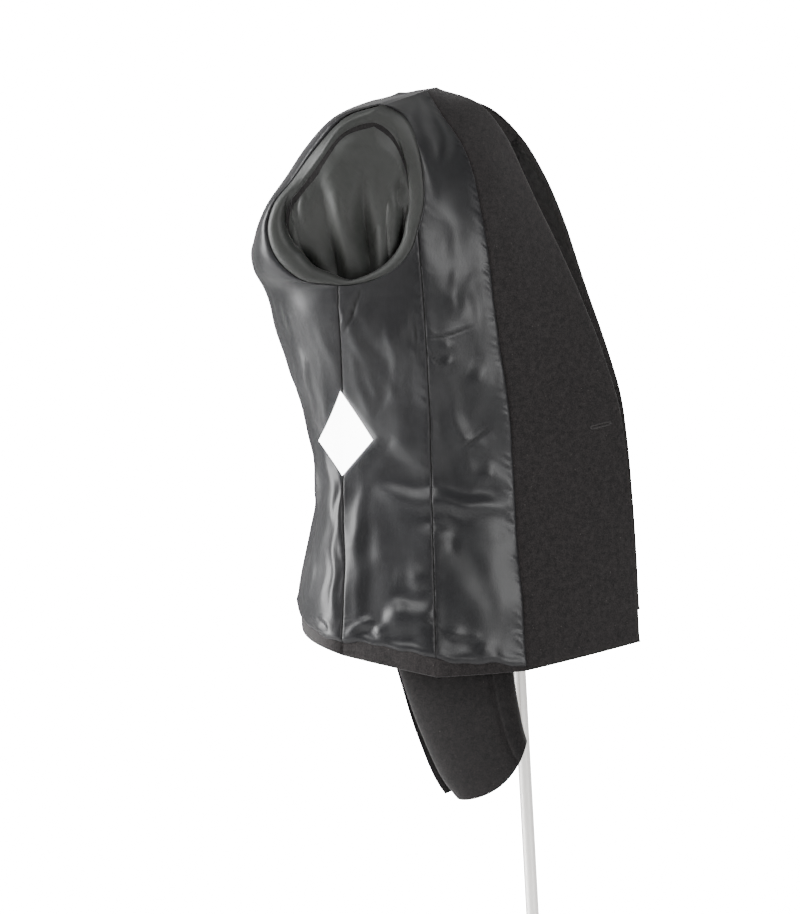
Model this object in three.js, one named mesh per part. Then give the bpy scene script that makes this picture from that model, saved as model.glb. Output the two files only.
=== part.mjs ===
// A short blazer turned inside out on a limbless dress form, on a plated pole with a floor base.
// Millimetres, +Z up. The fronts face -Y. The wearer's right side is -X. The origin is on the pole's
// axis, at the underside of the base.
//
// Columns of every table below: out = distance from the middle plane, back = position along +Y,
// up = height above the floor. Each piece is worked out for the right side and mirrored for the left.
import * as THREE from "three";

// ---- Driving dimensions -----------------------------------------------------------------------

const SEAM_GAP = 0.3; // between two pieces that are sewn together
const LINING = { outer: 0, inner: -1.3 }; // depth range of the layer that faces out
const WOOL = { outer: -1.6, inner: -3.3 }; // depth range of the wool under it
const LAPEL_WOOL = { outer: -5.3, inner: -8 }; // doubled wool, folded under the front
const COLLAR_WOOL = { outer: -8.1, inner: -10.7 };
const SLEEVE_WOOL = { outer: 0.5, inner: 1.7 }; // depths into the tube
const SLEEVE_LINING = { outer: 3.2, inner: 4.2 };
const SLEEVE_SEAM_GAP = 1; // wider, because the wall turns sharply there

const COLUMNS = { back: 7, side: 4, front: 4, facing: 3 };

const NECK_POINT = { out: 65, back: 42, up: 1378 };
const SHOULDER_POINT = { out: 176, back: 80, up: 1361 };
const FACING_AT_SHOULDER = 0.19; // share of the shoulder seam, from the neck, that is facing

// Centre back, from the hem to the neck. The first eight rows are level with the side seams.
const CENTRE_BACK = [
  { out: 0, back: 196, up: 899 },
  { out: 0, back: 195, up: 935 },
  { out: 0, back: 178, up: 985 },
  { out: 0, back: 172, up: 1035 },
  { out: 0, back: 181, up: 1090 },
  { out: 0, back: 192, up: 1140 },
  { out: 0, back: 200, up: 1176 },
  { out: 0, back: 207, up: 1209 },
  { out: 0, back: 212, up: 1226 },
  { out: 0, back: 213, up: 1244 },
  { out: 0, back: 205, up: 1262 },
  { out: 0, back: 192, up: 1282 },
  { out: 0, back: 177, up: 1303 },
  { out: 0, back: 157, up: 1330 },
  { out: 0, back: 134, up: 1352 },
  { out: 0, back: 93, up: 1372 },
];

// Seam between back and side panel, up to the bottom of the armhole.
const BACK_SEAM = [
  { out: 162, back: 146, up: 886 },
  { out: 153, back: 142, up: 933 },
  { out: 141, back: 140, up: 985 },
  { out: 135, back: 139, up: 1035 },
  { out: 139, back: 136, up: 1090 },
  { out: 154, back: 132, up: 1140 },
  { out: 165, back: 130, up: 1176 },
  { out: 172, back: 129, up: 1209 },
];

// Back edge of the armhole, from the side panel up to the shoulder.
const ARMHOLE_BACK = [
  { out: 174, back: 162, up: 1217 },
  { out: 174, back: 182, up: 1238 },
  { out: 174, back: 187, up: 1261 },
  { out: 174, back: 181, up: 1281 },
  { out: 174, back: 163, up: 1302 },
  { out: 175, back: 141, up: 1328 },
  { out: 176, back: 112, up: 1353 },
  SHOULDER_POINT,
];

// Seam between side panel and front, up to the front of the armhole.
const FRONT_SEAM = [
  { out: 178, back: 63, up: 866 },
  { out: 168, back: 62, up: 933 },
  { out: 158, back: 61, up: 985 },
  { out: 150, back: 60, up: 1035 },
  { out: 153, back: 58, up: 1090 },
  { out: 162, back: 57, up: 1140 },
  { out: 166, back: 57, up: 1190 },
  { out: 167, back: 58, up: 1254 },
];

// Front edge of the armhole, from the side panel up to the shoulder.
const ARMHOLE_FRONT = [
  { out: 168, back: 52, up: 1275 },
  { out: 169, back: 51, up: 1299 },
  { out: 171, back: 54, up: 1324 },
  { out: 174, back: 64, up: 1350 },
  SHOULDER_POINT,
];

// Inner edge of the wool facing, from the hem to the shoulder seam.
const FACING_EDGE = [
  { out: 153, back: -14, up: 864 },
  { out: 145, back: -13, up: 933 },
  { out: 138, back: -11, up: 985 },
  { out: 134, back: -11, up: 1035 },
  { out: 136, back: -10, up: 1090 },
  { out: 140, back: -6, up: 1140 },
  { out: 142, back: -2, up: 1190 },
  { out: 141, back: 1, up: 1240 },
  { out: 136, back: 6, up: 1274 },
  { out: 130, back: 10, up: 1298 },
  { out: 119, back: 19, up: 1325 },
  { out: 103, back: 38, up: 1355 },
];

// Front edge, which is the roll line of the lapel from the fifth row up, as far as the neck.
const FRONT_EDGE = [
  { out: 100, back: -114, up: 877 },
  { out: 100, back: -114, up: 940 },
  { out: 100, back: -113, up: 990 },
  { out: 99, back: -111, up: 1040 },
  { out: 98, back: -106, up: 1092 },
  { out: 96, back: -94, up: 1140 },
  { out: 95, back: -77, up: 1190 },
  { out: 91, back: -58, up: 1238 },
  { out: 90, back: -45, up: 1268 },
  { out: 87, back: -33, up: 1298 },
  { out: 79, back: -18, up: 1333 },
  { out: 72, back: 3, up: 1361 },
  NECK_POINT,
];

// Height of the turned-up wool hem that shows under the lining.
const HEM_BAND = [
  { back: -14, height: 5 },
  { back: 30, height: 10 },
  { back: 60, height: 15 },
  { back: 100, height: 18 },
  { back: 146, height: 12 },
  { back: 200, height: 11 },
];

// Lapel folded under: its width inwards from the roll line, by row of FRONT_EDGE.
const LAPEL = [
  { row: 4, width: 6 },
  { row: 5, width: 30 },
  { row: 6, width: 50 },
  { row: 7, width: 64 },
  { row: 8, width: 72 },
  { row: 9, width: 76 },
  { row: 10.2, width: 62 },
];
const LAPEL_COLUMNS = 4;

const COLLAR = {
  gorgeRow: 10.2,
  gorgeWidth: 40,
  shoulderWidth: 46,
  backShare: 1.9, // rows of the back that the collar covers at centre back
  backColumns: 5,
  frontColumns: 4,
  layers: 3,
};

// Rings of the sleeve below the armhole: centre, half width along the body, half depth towards it,
// tilt in degrees (the front is higher), and how far the cuff's edge is rounded downwards.
const SLEEVE = [
  { out: 146, back: 105, up: 1190, wide: 47, deep: 16, tilt: 9 },
  { out: 131, back: 98, up: 1120, wide: 44, deep: 11, tilt: 10 },
  { out: 122, back: 84, up: 1040, wide: 46, deep: 10, tilt: 11 },
  { out: 132, back: 66, up: 950, wide: 51, deep: 12, tilt: 12 },
  { out: 138, back: 49, up: 871, wide: 50, deep: 14, tilt: 12 },
  { out: 140, back: 38, up: 818, wide: 45, deep: 14, tilt: 16 },
  { out: 140, back: 27, up: 784, wide: 42, deep: 15, tilt: 30, bow: 9 },
  { out: 140, back: 22, up: 775, wide: 41, deep: 15, tilt: 37, bow: 14 },
];
const SLEEVE_FLATNESS = 0.6; // below 1 the tube is flat with round edges
const SLEEVE_LINING_RINGS = 6; // the lining stops above the cuff edge
const MOUTH_DEPTH = 9.4; // the sleeve clears the body's wall before it spreads
const CAP_SHARES = [0, 0.2, 0.35, 0.65]; // steps from there to the first ring
const CAP_BULGE = 4;
const SLEEVE_SEAMS = { front: -2.5, back: 1.5 }; // angles round the tube, 0 towards the body

// Main folds, as soft ridges (height above 0) or troughs along a line on the side of the body.
const FOLDS = [
  { on: "body", back1: 186, up1: 905, back2: 182, up2: 1060, width: 10, height: 3 },
  { on: "body", back1: 165, up1: 900, back2: 160, up2: 1150, width: 9, height: -3 },
  { on: "body", back1: 62, up1: 1008, back2: -2, up2: 1003, width: 16, height: 3 },
  { on: "body", back1: 62, up1: 1040, back2: 0, up2: 1034, width: 16, height: -3 },
  { on: "cap", back1: 134, up1: 1300, back2: 130, up2: 1212, width: 7, height: 5 },
  { on: "cap", back1: 150, up1: 1280, back2: 148, up2: 1215, width: 8, height: -6 },
  { on: "cap", back1: 108, up1: 1280, back2: 100, up2: 1218, width: 9, height: -6 },
];

// Care label: its corners on the side of the body, from the lowest round by the front to the back
// one, which hangs free and curls off the cloth.
const LABEL = {
  corners: [
    { back: 138, up: 1042 },
    { back: 108, up: 1073 },
    { back: 134, up: 1117 },
    { back: 153, up: 1074 },
  ],
  thick: 1,
  lift: 0.8,
  curl: 5,
};
const BUTTON = { row: 3.7, fromEdge: 17, radius: 10, thick: 4, rim: 1.2, hollow: 6.5 };

// The dress form, from its underside to the top of the neck stump.
const FORM = [
  { up: 870, out: 96, front: -36, back: 158 },
  { up: 873, out: 112, front: -52, back: 175 },
  { up: 885, out: 119, front: -60, back: 185 },
  { up: 930, out: 118, front: -58, back: 187 },
  { up: 985, out: 111, front: -44, back: 171 },
  { up: 1035, out: 108, front: -32, back: 165 },
  { up: 1090, out: 112, front: -38, back: 173 },
  { up: 1140, out: 116, front: -56, back: 183 },
  { up: 1185, out: 126, front: -62, back: 193 },
  { up: 1220, out: 134, front: -50, back: 199 },
  { up: 1262, out: 142, front: -30, back: 190 },
  { up: 1300, out: 146, front: -10, back: 164 },
  { up: 1326, out: 138, front: 6, back: 144 },
  { up: 1343, out: 116, front: 18, back: 125 },
  { up: 1353, out: 90, front: 24, back: 107 },
  { up: 1360, out: 58, front: 26, back: 84 },
  { up: 1367, out: 42, front: 27, back: 68 },
];
const FORM_SIDES = 28;
const FORM_SQUARENESS = 2.15;

const POLE_RADIUS = 6;
const FLANGE = { radius: 32, thick: 5, neck: 12, height: 26 };
const BASE = { radius: 170, thick: 8, edge: 2, bossRadius: 26, bossHeight: 34 };
const ROUND_SIDES = 32;

// ---- Finishes ---------------------------------------------------------------------------------

const wool = () => new THREE.MeshStandardMaterial({ color: 0x2f2b2d, roughness: 0.95 });
const lining = () => new THREE.MeshStandardMaterial({ color: 0x3a3d42, roughness: 0.45 });
const sleeveLining = () => new THREE.MeshStandardMaterial({ color: 0x474a45, roughness: 0.5 });
const labelCloth = () => new THREE.MeshStandardMaterial({ color: 0xe9e9e6, roughness: 0.7 });
const horn = () => new THREE.MeshStandardMaterial({ color: 0x1b1a1a, roughness: 0.4 });
const formCover = () => new THREE.MeshStandardMaterial({ color: 0xf3f1ec, roughness: 0.8 });
const plated = () =>
  new THREE.MeshStandardMaterial({ color: 0xd0d0cc, roughness: 0.18, metalness: 1 });

// ---- Small helpers ----------------------------------------------------------------------------

const lerp = THREE.MathUtils.lerp;
const onRightSide = (row) => new THREE.Vector3(-row.out, row.back, row.up);

function between(points, place) {
  const last = points.length - 1;
  const first = Math.min(Math.floor(place), last - 1);
  return points[first].clone().lerp(points[first + 1], place - first);
}

function fromTable(table, column, value, result) {
  for (let i = 1; i < table.length; i += 1) {
    const low = table[i - 1];
    const high = table[i];
    if (value <= high[column] || i === table.length - 1) {
      const share = (value - low[column]) / (high[column] - low[column]);
      return lerp(low[result], high[result], THREE.MathUtils.clamp(share, 0, 1));
    }
  }
  return table[0][result];
}

// Direction out of the cloth: away from the body's middle, and upwards over the shoulders.
const MIDDLE_BACK = 45;
const SIDEWAYS = 1.3;
const SHOULDER_START = 1230;
const SHOULDER_RISE = 150;
const SHOULDER_STRENGTH = 600;
function outwards(point) {
  const rise = Math.max(0, (point.z - SHOULDER_START) / SHOULDER_RISE) ** 3;
  const away = new THREE.Vector3(point.x * SIDEWAYS, point.y - MIDDLE_BACK, 0);
  away.z = rise * SHOULDER_STRENGTH;
  return away.normalize();
}

function foldHeight(point, surface) {
  let height = 0;
  for (const fold of FOLDS.filter((entry) => entry.on === surface)) {
    const start = new THREE.Vector2(fold.back1, fold.up1);
    const along = new THREE.Vector2(fold.back2, fold.up2).sub(start);
    const here = new THREE.Vector2(point.y, point.z).sub(start);
    const share = THREE.MathUtils.clamp(here.dot(along) / along.lengthSq(), 0, 1);
    const off = here.sub(along.multiplyScalar(share)).length();
    height += fold.height * Math.exp(-((off / fold.width) ** 2));
  }
  return height;
}

// ---- Closed meshes ----------------------------------------------------------------------------

const mirrored = (point) => new THREE.Vector3(-point.x, point.y, point.z);

function closedMesh(vertices, triangles) {
  let volume = 0;
  for (const [a, b, c] of triangles) {
    volume += vertices[a].dot(vertices[b].clone().cross(vertices[c]));
  }
  const order = volume > 0 ? triangles : triangles.map(([a, b, c]) => [a, c, b]);
  const geometry = new THREE.BufferGeometry();
  const positions = vertices.flatMap((vertex) => vertex.toArray());
  geometry.setAttribute("position", new THREE.Float32BufferAttribute(positions, 3));
  geometry.setIndex(order.flat());
  geometry.computeVertexNormals();
  return geometry;
}

// The left half hangs a little otherwise: its lapel stands further forward at the chest, and its
// sleeve swings further back towards the cuff.
const LEFT_CHEST = { up: 1285, spread: 75, forward: 13, startsAt: 45, fullAt: -15 };
const LEFT_SLEEVE = { startsAt: 1190, length: 400, swing: 24 };

function leftFront(point) {
  const share = (LEFT_CHEST.startsAt - point.y) / (LEFT_CHEST.startsAt - LEFT_CHEST.fullAt);
  const level = Math.exp(-(((point.z - LEFT_CHEST.up) / LEFT_CHEST.spread) ** 2));
  const forward = LEFT_CHEST.forward * level * THREE.MathUtils.smoothstep(share, 0, 1);
  return new THREE.Vector3(-point.x, point.y - forward, point.z);
}

function leftSleeve(point) {
  const share = Math.max(0, (LEFT_SLEEVE.startsAt - point.z) / LEFT_SLEEVE.length);
  return new THREE.Vector3(-point.x, point.y + LEFT_SLEEVE.swing * share, point.z);
}

// A wall from two matching grids of points, closed round its edge.
function wallFromGrids(outer, inner) {
  const rows = outer.length;
  const columns = outer[0].length;
  const vertices = [...outer.flat(), ...inner.flat()];
  const at = (layer, i, j) => layer * rows * columns + i * columns + j;
  const triangles = [];
  const quad = (a, b, c, d) => triangles.push([a, b, c], [a, c, d]);
  for (let i = 0; i < rows - 1; i += 1) {
    for (let j = 0; j < columns - 1; j += 1) {
      quad(at(0, i, j), at(0, i, j + 1), at(0, i + 1, j + 1), at(0, i + 1, j));
      quad(at(1, i, j), at(1, i + 1, j), at(1, i + 1, j + 1), at(1, i, j + 1));
    }
  }
  for (let j = 0; j < columns - 1; j += 1) {
    quad(at(0, 0, j + 1), at(0, 0, j), at(1, 0, j), at(1, 0, j + 1));
    quad(at(0, rows - 1, j), at(0, rows - 1, j + 1), at(1, rows - 1, j + 1), at(1, rows - 1, j));
  }
  for (let i = 0; i < rows - 1; i += 1) {
    quad(at(0, i, 0), at(0, i + 1, 0), at(1, i + 1, 0), at(1, i, 0));
    const j = columns - 1;
    quad(at(0, i + 1, j), at(0, i, j), at(1, i, j), at(1, i + 1, j));
  }
  return { vertices, triangles };
}

// Half a seam gap is taken off each edge of a panel.
function trimmed(grid) {
  const result = grid.map((row) => row.map((point) => point.clone()));
  const rows = grid.length;
  const columns = grid[0].length;
  const pull = (i, j, towards) => {
    const step = towards.clone().sub(grid[i][j]).setLength(SEAM_GAP / 2);
    result[i][j].add(step);
  };
  for (let i = 0; i < rows; i += 1) {
    pull(i, 0, grid[i][1]);
    pull(i, columns - 1, grid[i][columns - 2]);
  }
  for (let j = 0; j < columns; j += 1) {
    pull(0, j, grid[1][j]);
    pull(rows - 1, j, grid[rows - 2][j]);
  }
  return result;
}

function panelWall(grid, layer) {
  const cut = trimmed(grid);
  const moved = (depth) =>
    cut.map((row) => row.map((p) => p.clone().addScaledVector(outwards(p), depth)));
  return wallFromGrids(moved(layer.outer), moved(layer.inner));
}

const blazer = new THREE.Group();

function addPiece(name, wall, material) {
  const mesh = new THREE.Mesh(closedMesh(wall.vertices, wall.triangles), material);
  mesh.name = name;
  blazer.add(mesh);
}

function addPair(name, wall, material, toLeft = leftFront) {
  addPiece(`${name}_R`, wall, material());
  addPiece(`${name}_L`, { ...wall, vertices: wall.vertices.map(toLeft) }, material());
}

// ---- The shape of the right half --------------------------------------------------------------

function bezierRow(start, startPull, endPull, end, columns) {
  const curve = new THREE.CubicBezierCurve3(start, startPull, endPull, end);
  return curve.getPoints(columns);
}

// Shoulder seam and back neckline are the last row of the back.
const NECK_ROUND = 14;
const NECK_COLUMNS = 3;
const NECK_SHARE = NECK_COLUMNS / COLUMNS.back;
const neckPoint = onRightSide(NECK_POINT);
const shoulderPoint = onRightSide(SHOULDER_POINT);

function backTopRow() {
  const centre = onRightSide(CENTRE_BACK.at(-1));
  const row = [];
  for (let j = 0; j <= COLUMNS.back; j += 1) {
    const share = j / COLUMNS.back;
    if (share <= NECK_SHARE) {
      const along = share / NECK_SHARE;
      const point = centre.clone().lerp(neckPoint, along);
      point.y += NECK_ROUND * Math.sin(Math.PI * along);
      row.push(point);
    } else {
      const along = (share - NECK_SHARE) / (1 - NECK_SHARE);
      row.push(neckPoint.clone().lerp(shoulderPoint, along));
    }
  }
  return row;
}

// Each row of the back runs level from centre back, then turns forward to the side. Shares are of
// the way from its start to its end.
const BACK_ROW = { out: 0.5, roundness: 2, startRise: 0.2, endRise: 0.1, spread: 1.01 };
const BACK_SQUARENESS = [0.55, 0.85]; // how far the side runs back before it turns, hem to armhole

function backGrid() {
  const edge = [...BACK_SEAM, ...ARMHOLE_BACK].map(onRightSide);
  const centre = CENTRE_BACK.map(onRightSide);
  const grid = edge.slice(0, -1).map((end, i) => {
    const start = centre[i];
    const square = lerp(...BACK_SQUARENESS, Math.min(1, i / (BACK_SEAM.length - 2)));
    const startPull = new THREE.Vector3(
      end.x * BACK_ROW.out,
      start.y + BACK_ROW.roundness,
      lerp(start.z, end.z, BACK_ROW.startRise),
    );
    const endPull = new THREE.Vector3(
      end.x * BACK_ROW.spread,
      lerp(end.y, start.y, square),
      lerp(start.z, end.z, BACK_ROW.endRise),
    );
    return bezierRow(start, startPull, endPull, end, COLUMNS.back);
  });
  grid.push(backTopRow());
  return grid;
}

const SIDE_ROW = { startPull: 0.35, endPull: 0.7, push: 3 };
const UNDERARM = { drop: 2, forward: 6, rise: 8 }; // how the armhole dips along the top of the side

function sideGrid() {
  const front = FRONT_SEAM.map(onRightSide);
  const back = BACK_SEAM.map(onRightSide);
  return back.map((start, i) => {
    const end = front[i];
    const startPull = start.clone().lerp(end, SIDE_ROW.startPull);
    const endPull = start.clone().lerp(end, SIDE_ROW.endPull);
    startPull.x -= SIDE_ROW.push;
    endPull.x -= SIDE_ROW.push;
    if (i === back.length - 1) {
      startPull.z = start.z - UNDERARM.drop;
      endPull.y = end.y + UNDERARM.forward;
      endPull.z = start.z + UNDERARM.rise;
    }
    return bezierRow(start, startPull, endPull, end, COLUMNS.side);
  });
}

function facingRows() {
  const shoulderEnd = neckPoint.clone().lerp(shoulderPoint, FACING_AT_SHOULDER);
  return [...FACING_EDGE.map(onRightSide), shoulderEnd];
}

const SPAN_PULLS = [0.33, 0.67];

function spannedGrid(starts, ends, columns, bulge) {
  return starts.map((start, i) => {
    const end = ends[i];
    const middle = start.clone().lerp(end, 0.5);
    const push = outwards(middle).multiplyScalar(i === starts.length - 1 ? 0 : bulge);
    const [startPull, endPull] = SPAN_PULLS.map((pull) => start.clone().lerp(end, pull).add(push));
    return bezierRow(start, startPull, endPull, end, columns);
  });
}

function folded(grid, surface) {
  return grid.map((row) =>
    row.map((point) => point.clone().addScaledVector(outwards(point), foldHeight(point, surface))),
  );
}

const FRONT_BULGE = 3;
const frontStarts = [...FRONT_SEAM, ...ARMHOLE_FRONT].map(onRightSide);
const back = folded(backGrid(), "body");
const side = folded(sideGrid(), "body");
const front = folded(spannedGrid(frontStarts, facingRows(), COLUMNS.front, FRONT_BULGE), "body");
const facing = folded(
  spannedGrid(facingRows(), FRONT_EDGE.map(onRightSide), COLUMNS.facing, FRONT_BULGE),
  "body",
);
const wholeFront = front.map((row, i) => [...row, ...facing[i].slice(1)]);

// ---- Body panels ------------------------------------------------------------------------------

// The lining starts above the turned-up hem, which is a strip of its own.
function hemLine(grid) {
  return grid[0].map((point, j) => {
    const height = fromTable(HEM_BAND, "back", point.y, "height");
    return point.clone().lerp(grid[1][j], height / (grid[1][j].z - point.z));
  });
}

for (const [name, grid] of Object.entries({ back, side, front })) {
  const line = hemLine(grid);
  addPair(`lining_${name}`, panelWall([line, ...grid.slice(1)], LINING), lining);
  addPair(`hem_${name}`, panelWall([grid[0], line], LINING), wool);
}
addPair("facing", panelWall(facing, LINING), wool);
addPair("shell_back", panelWall(back, WOOL), wool);
addPair("shell_side", panelWall(side, WOOL), wool);
addPair("shell_front", panelWall(wholeFront, WOOL), wool);

// ---- Lapels and collar, folded under -----------------------------------------------------------

// The point on the front, at a place between its rows, at a distance in from the front edge.
function frontPoint(place, distance) {
  const low = Math.min(Math.floor(place), wholeFront.length - 2);
  const above = wholeFront[low + 1];
  const row = wholeFront[low].map((point, j) => point.clone().lerp(above[j], place - low));
  row.reverse();
  let left = distance;
  for (let j = 1; j < row.length; j += 1) {
    const length = row[j].distanceTo(row[j - 1]);
    if (left <= length) {
      return row[j - 1].clone().lerp(row[j], left / length);
    }
    left -= length;
  }
  return row.at(-1);
}

const lapelGrid = LAPEL.map(({ row, width }) => {
  const points = [];
  for (let j = 0; j <= LAPEL_COLUMNS; j += 1) {
    points.push(frontPoint(row, (width * j) / LAPEL_COLUMNS));
  }
  return points;
});
addPair("lapel", panelWall(lapelGrid, LAPEL_WOOL), wool);

function backPoint(place, share) {
  const low = Math.min(Math.floor(place), back.length - 2);
  const column = share * COLUMNS.back;
  return between(back[low], column).lerp(between(back[low + 1], column), place - low);
}

function collarHalf() {
  const columns = [];
  const top = back.length - 1;
  const shoulderLength = neckPoint.distanceTo(shoulderPoint);
  const shoulderShare = NECK_SHARE + (1 - NECK_SHARE) * (COLLAR.shoulderWidth / shoulderLength);
  for (let i = 0; i <= COLLAR.backColumns; i += 1) {
    const along = i / COLLAR.backColumns;
    const column = [];
    for (let j = 0; j < COLLAR.layers; j += 1) {
      const down = j / (COLLAR.layers - 1);
      const reach = COLLAR.backShare * (1 - along ** 2) * down;
      const share = along * lerp(NECK_SHARE, shoulderShare, down);
      column.push(backPoint(top - reach, share));
    }
    columns.push(column);
  }
  const last = wholeFront.length - 1;
  for (let i = 1; i <= COLLAR.frontColumns; i += 1) {
    const along = i / COLLAR.frontColumns;
    const place = lerp(last, COLLAR.gorgeRow, along);
    const width = lerp(COLLAR.shoulderWidth, COLLAR.gorgeWidth, along);
    const column = [];
    for (let j = 0; j < COLLAR.layers; j += 1) {
      column.push(frontPoint(place, (width * j) / (COLLAR.layers - 1)));
    }
    columns.push(column);
  }
  return columns;
}

const rightCollar = collarHalf();
const leftCollar = rightCollar.slice(1).reverse().map((column) => column.map(mirrored));
const collarWall = panelWall([...leftCollar, ...rightCollar], COLLAR_WOOL);
const settled = (point) => (point.x > 0 ? leftFront(mirrored(point)) : point);
addPiece("collar", { ...collarWall, vertices: collarWall.vertices.map(settled) }, wool());

// ---- Sleeves, hanging inside the body ---------------------------------------------------------

// The armhole, from the shoulder down its back edge and up its front edge.
const armhole = [
  ...back.slice(BACK_SEAM.length).map((row) => row.at(-1)).reverse(),
  ...side.at(-1),
  ...front.slice(FRONT_SEAM.length, -1).map((row) => row[0]),
];
const armholeMiddle = new THREE.Box3().setFromPoints(armhole).getCenter(new THREE.Vector3());
const armholeAngles = armhole.map((point) =>
  Math.atan2(point.y - armholeMiddle.y, point.z - armholeMiddle.z),
);

function sleeveRing(row) {
  const tilt = THREE.MathUtils.degToRad(row.tilt);
  return armholeAngles.map((angle) => {
    const across = Math.sin(angle) * row.wide;
    const point = new THREE.Vector3(-row.out, row.back, row.up);
    point.x += Math.sign(Math.cos(angle)) * Math.abs(Math.cos(angle)) ** SLEEVE_FLATNESS * row.deep;
    point.y += across * Math.cos(tilt);
    point.z -= across * Math.sin(tilt);
    const bow = (row.bow ?? 0) * Math.cos(angle) ** 2;
    point.y -= bow * Math.sin(tilt);
    point.z -= bow * Math.cos(tilt);
    return point;
  });
}

const mouth = armhole.map((point) => point.clone().addScaledVector(outwards(point), -MOUTH_DEPTH));

function capRing(share, firstRing) {
  return mouth.map((point, k) => {
    const ring = point.clone().lerp(firstRing[k], share);
    const upper = Math.max(0, Math.cos(armholeAngles[k])) ** 2;
    ring.x -= CAP_BULGE * upper * Math.sin(Math.PI * share) * (1 - share);
    ring.x -= foldHeight(ring, "cap") * upper * Math.sin(Math.PI * share);
    return ring;
  });
}

const firstRing = sleeveRing(SLEEVE[0]);
const sleeveRings = [
  armhole,
  ...CAP_SHARES.map((share) => capRing(share, firstRing)),
  ...SLEEVE.map(sleeveRing),
];

// Directions into the tube, square to its surface.
const sleeveInwards = sleeveRings.map((ring, i) => {
  const above = sleeveRings[Math.max(i - 1, 0)];
  const below = sleeveRings[Math.min(i + 1, sleeveRings.length - 1)];
  return ring.map((point, k) => {
    const down = below[k].clone().sub(above[k]);
    const around = ring[(k + 1) % ring.length].clone().sub(ring.at(k - 1));
    return around.cross(down).normalize();
  });
});

const sleeveAtDepth = (depth) =>
  sleeveRings.map((ring, i) =>
    ring.map((point, k) => point.clone().addScaledVector(sleeveInwards[i][k], depth)),
  );

function tubeWall(outer, inner) {
  const around = armhole.length;
  const vertices = [...outer.flat(), ...inner.flat()];
  const at = (layer, i, k) => layer * outer.length * around + i * around + (k % around);
  const triangles = [];
  const quad = (a, b, c, d) => triangles.push([a, b, c], [a, c, d]);
  const end = outer.length - 1;
  for (let k = 0; k < around; k += 1) {
    for (let i = 0; i < end; i += 1) {
      quad(at(0, i, k), at(0, i + 1, k), at(0, i + 1, k + 1), at(0, i, k + 1));
      quad(at(1, i, k), at(1, i, k + 1), at(1, i + 1, k + 1), at(1, i + 1, k));
    }
    quad(at(0, 0, k), at(0, 0, k + 1), at(1, 0, k + 1), at(1, 0, k));
    quad(at(0, end, k + 1), at(0, end, k), at(1, end, k), at(1, end, k + 1));
  }
  return { vertices, triangles };
}

function sleevePanel(fromIndex, toIndex) {
  const columns = (ring) => {
    const picked = [];
    for (let k = fromIndex; k <= toIndex; k += 1) {
      picked.push(ring[k % ring.length]);
    }
    return picked;
  };
  const outer = sleeveAtDepth(SLEEVE_WOOL.outer).map(columns);
  const inner = sleeveAtDepth(SLEEVE_WOOL.inner).map(columns);
  return wallFromGrids(parted(outer), parted(inner));
}

// Half the sleeve seam gap is taken off both long edges of a sleeve panel.
function parted(grid) {
  return grid.map((row) => {
    const result = row.map((point) => point.clone());
    const last = row.length - 1;
    result[0].add(row[1].clone().sub(row[0]).setLength(SLEEVE_SEAM_GAP / 2));
    result[last].add(row[last - 1].clone().sub(row[last]).setLength(SLEEVE_SEAM_GAP / 2));
    return result;
  });
}

function nearestAngle(target) {
  const gaps = armholeAngles.map((angle) => Math.abs(angle - target));
  return gaps.indexOf(Math.min(...gaps));
}

const backSeamIndex = nearestAngle(SLEEVE_SEAMS.back);
const frontSeamIndex = nearestAngle(SLEEVE_SEAMS.front);
addPair("sleeve_under", sleevePanel(backSeamIndex, frontSeamIndex), wool, leftSleeve);
const topPanel = sleevePanel(frontSeamIndex, backSeamIndex + armhole.length);
addPair("sleeve_top", topPanel, wool, leftSleeve);
const liningEnd = 1 + CAP_SHARES.length + SLEEVE_LINING_RINGS;
const liningFaces = [SLEEVE_LINING.outer, SLEEVE_LINING.inner].map((depth) =>
  sleeveAtDepth(depth).slice(0, liningEnd),
);
addPair("sleeve_lining", tubeWall(...liningFaces), sleeveLining, leftSleeve);

// ---- Care label and button --------------------------------------------------------------------

// The cloth's surface at a place on the side of the body, seen square to the middle plane.
const CORNER_SETS = [[0, 1, 2], [0, 2, 3]];
const EDGE_SLACK = 1e-6;

function bodySurface(backward, up) {
  for (const grid of [side, back]) {
    for (let i = 0; i < grid.length - 1; i += 1) {
      for (let j = 0; j < grid[0].length - 1; j += 1) {
        const corners = [grid[i][j], grid[i][j + 1], grid[i + 1][j + 1], grid[i + 1][j]];
        for (const [a, b, c] of CORNER_SETS) {
          const flat = [a, b, c].map((n) => new THREE.Vector3(corners[n].y, corners[n].z, 0));
          const weights = new THREE.Vector3();
          const here = new THREE.Vector3(backward, up, 0);
          THREE.Triangle.getBarycoord(here, ...flat, weights);
          if (Math.min(...weights) >= -EDGE_SLACK) {
            const x =
              weights.x * corners[a].x + weights.y * corners[b].x + weights.z * corners[c].x;
            return new THREE.Vector3(x, backward, up);
          }
        }
      }
    }
  }
  throw new Error("The label is off the body");
}

const LABEL_STEPS = 7;
const CURL_SHAPE = 1.5;

function labelGrid(height) {
  const corners = LABEL.corners.map((corner) => new THREE.Vector2(corner.back, corner.up));
  const [low, ahead, top, free] = corners;
  const grid = [];
  for (let i = 0; i <= LABEL_STEPS; i += 1) {
    const upwards = i / LABEL_STEPS;
    const row = [];
    for (let j = 0; j <= LABEL_STEPS; j += 1) {
      const forwards = j / LABEL_STEPS;
      const spot = low.clone().lerp(ahead, forwards);
      spot.lerp(free.clone().lerp(top, forwards), upwards);
      const point = bodySurface(spot.x, spot.y);
      const curl = LABEL.curl * ((1 - forwards) * upwards) ** CURL_SHAPE;
      row.push(point.addScaledVector(outwards(point), LABEL.lift + height + curl));
    }
    grid.push(row);
  }
  return grid;
}
addPiece("care_label", wallFromGrids(labelGrid(LABEL.thick), labelGrid(0)), labelCloth());

const ROW_STEP = 0.2; // to find which way is up at the button

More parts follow.
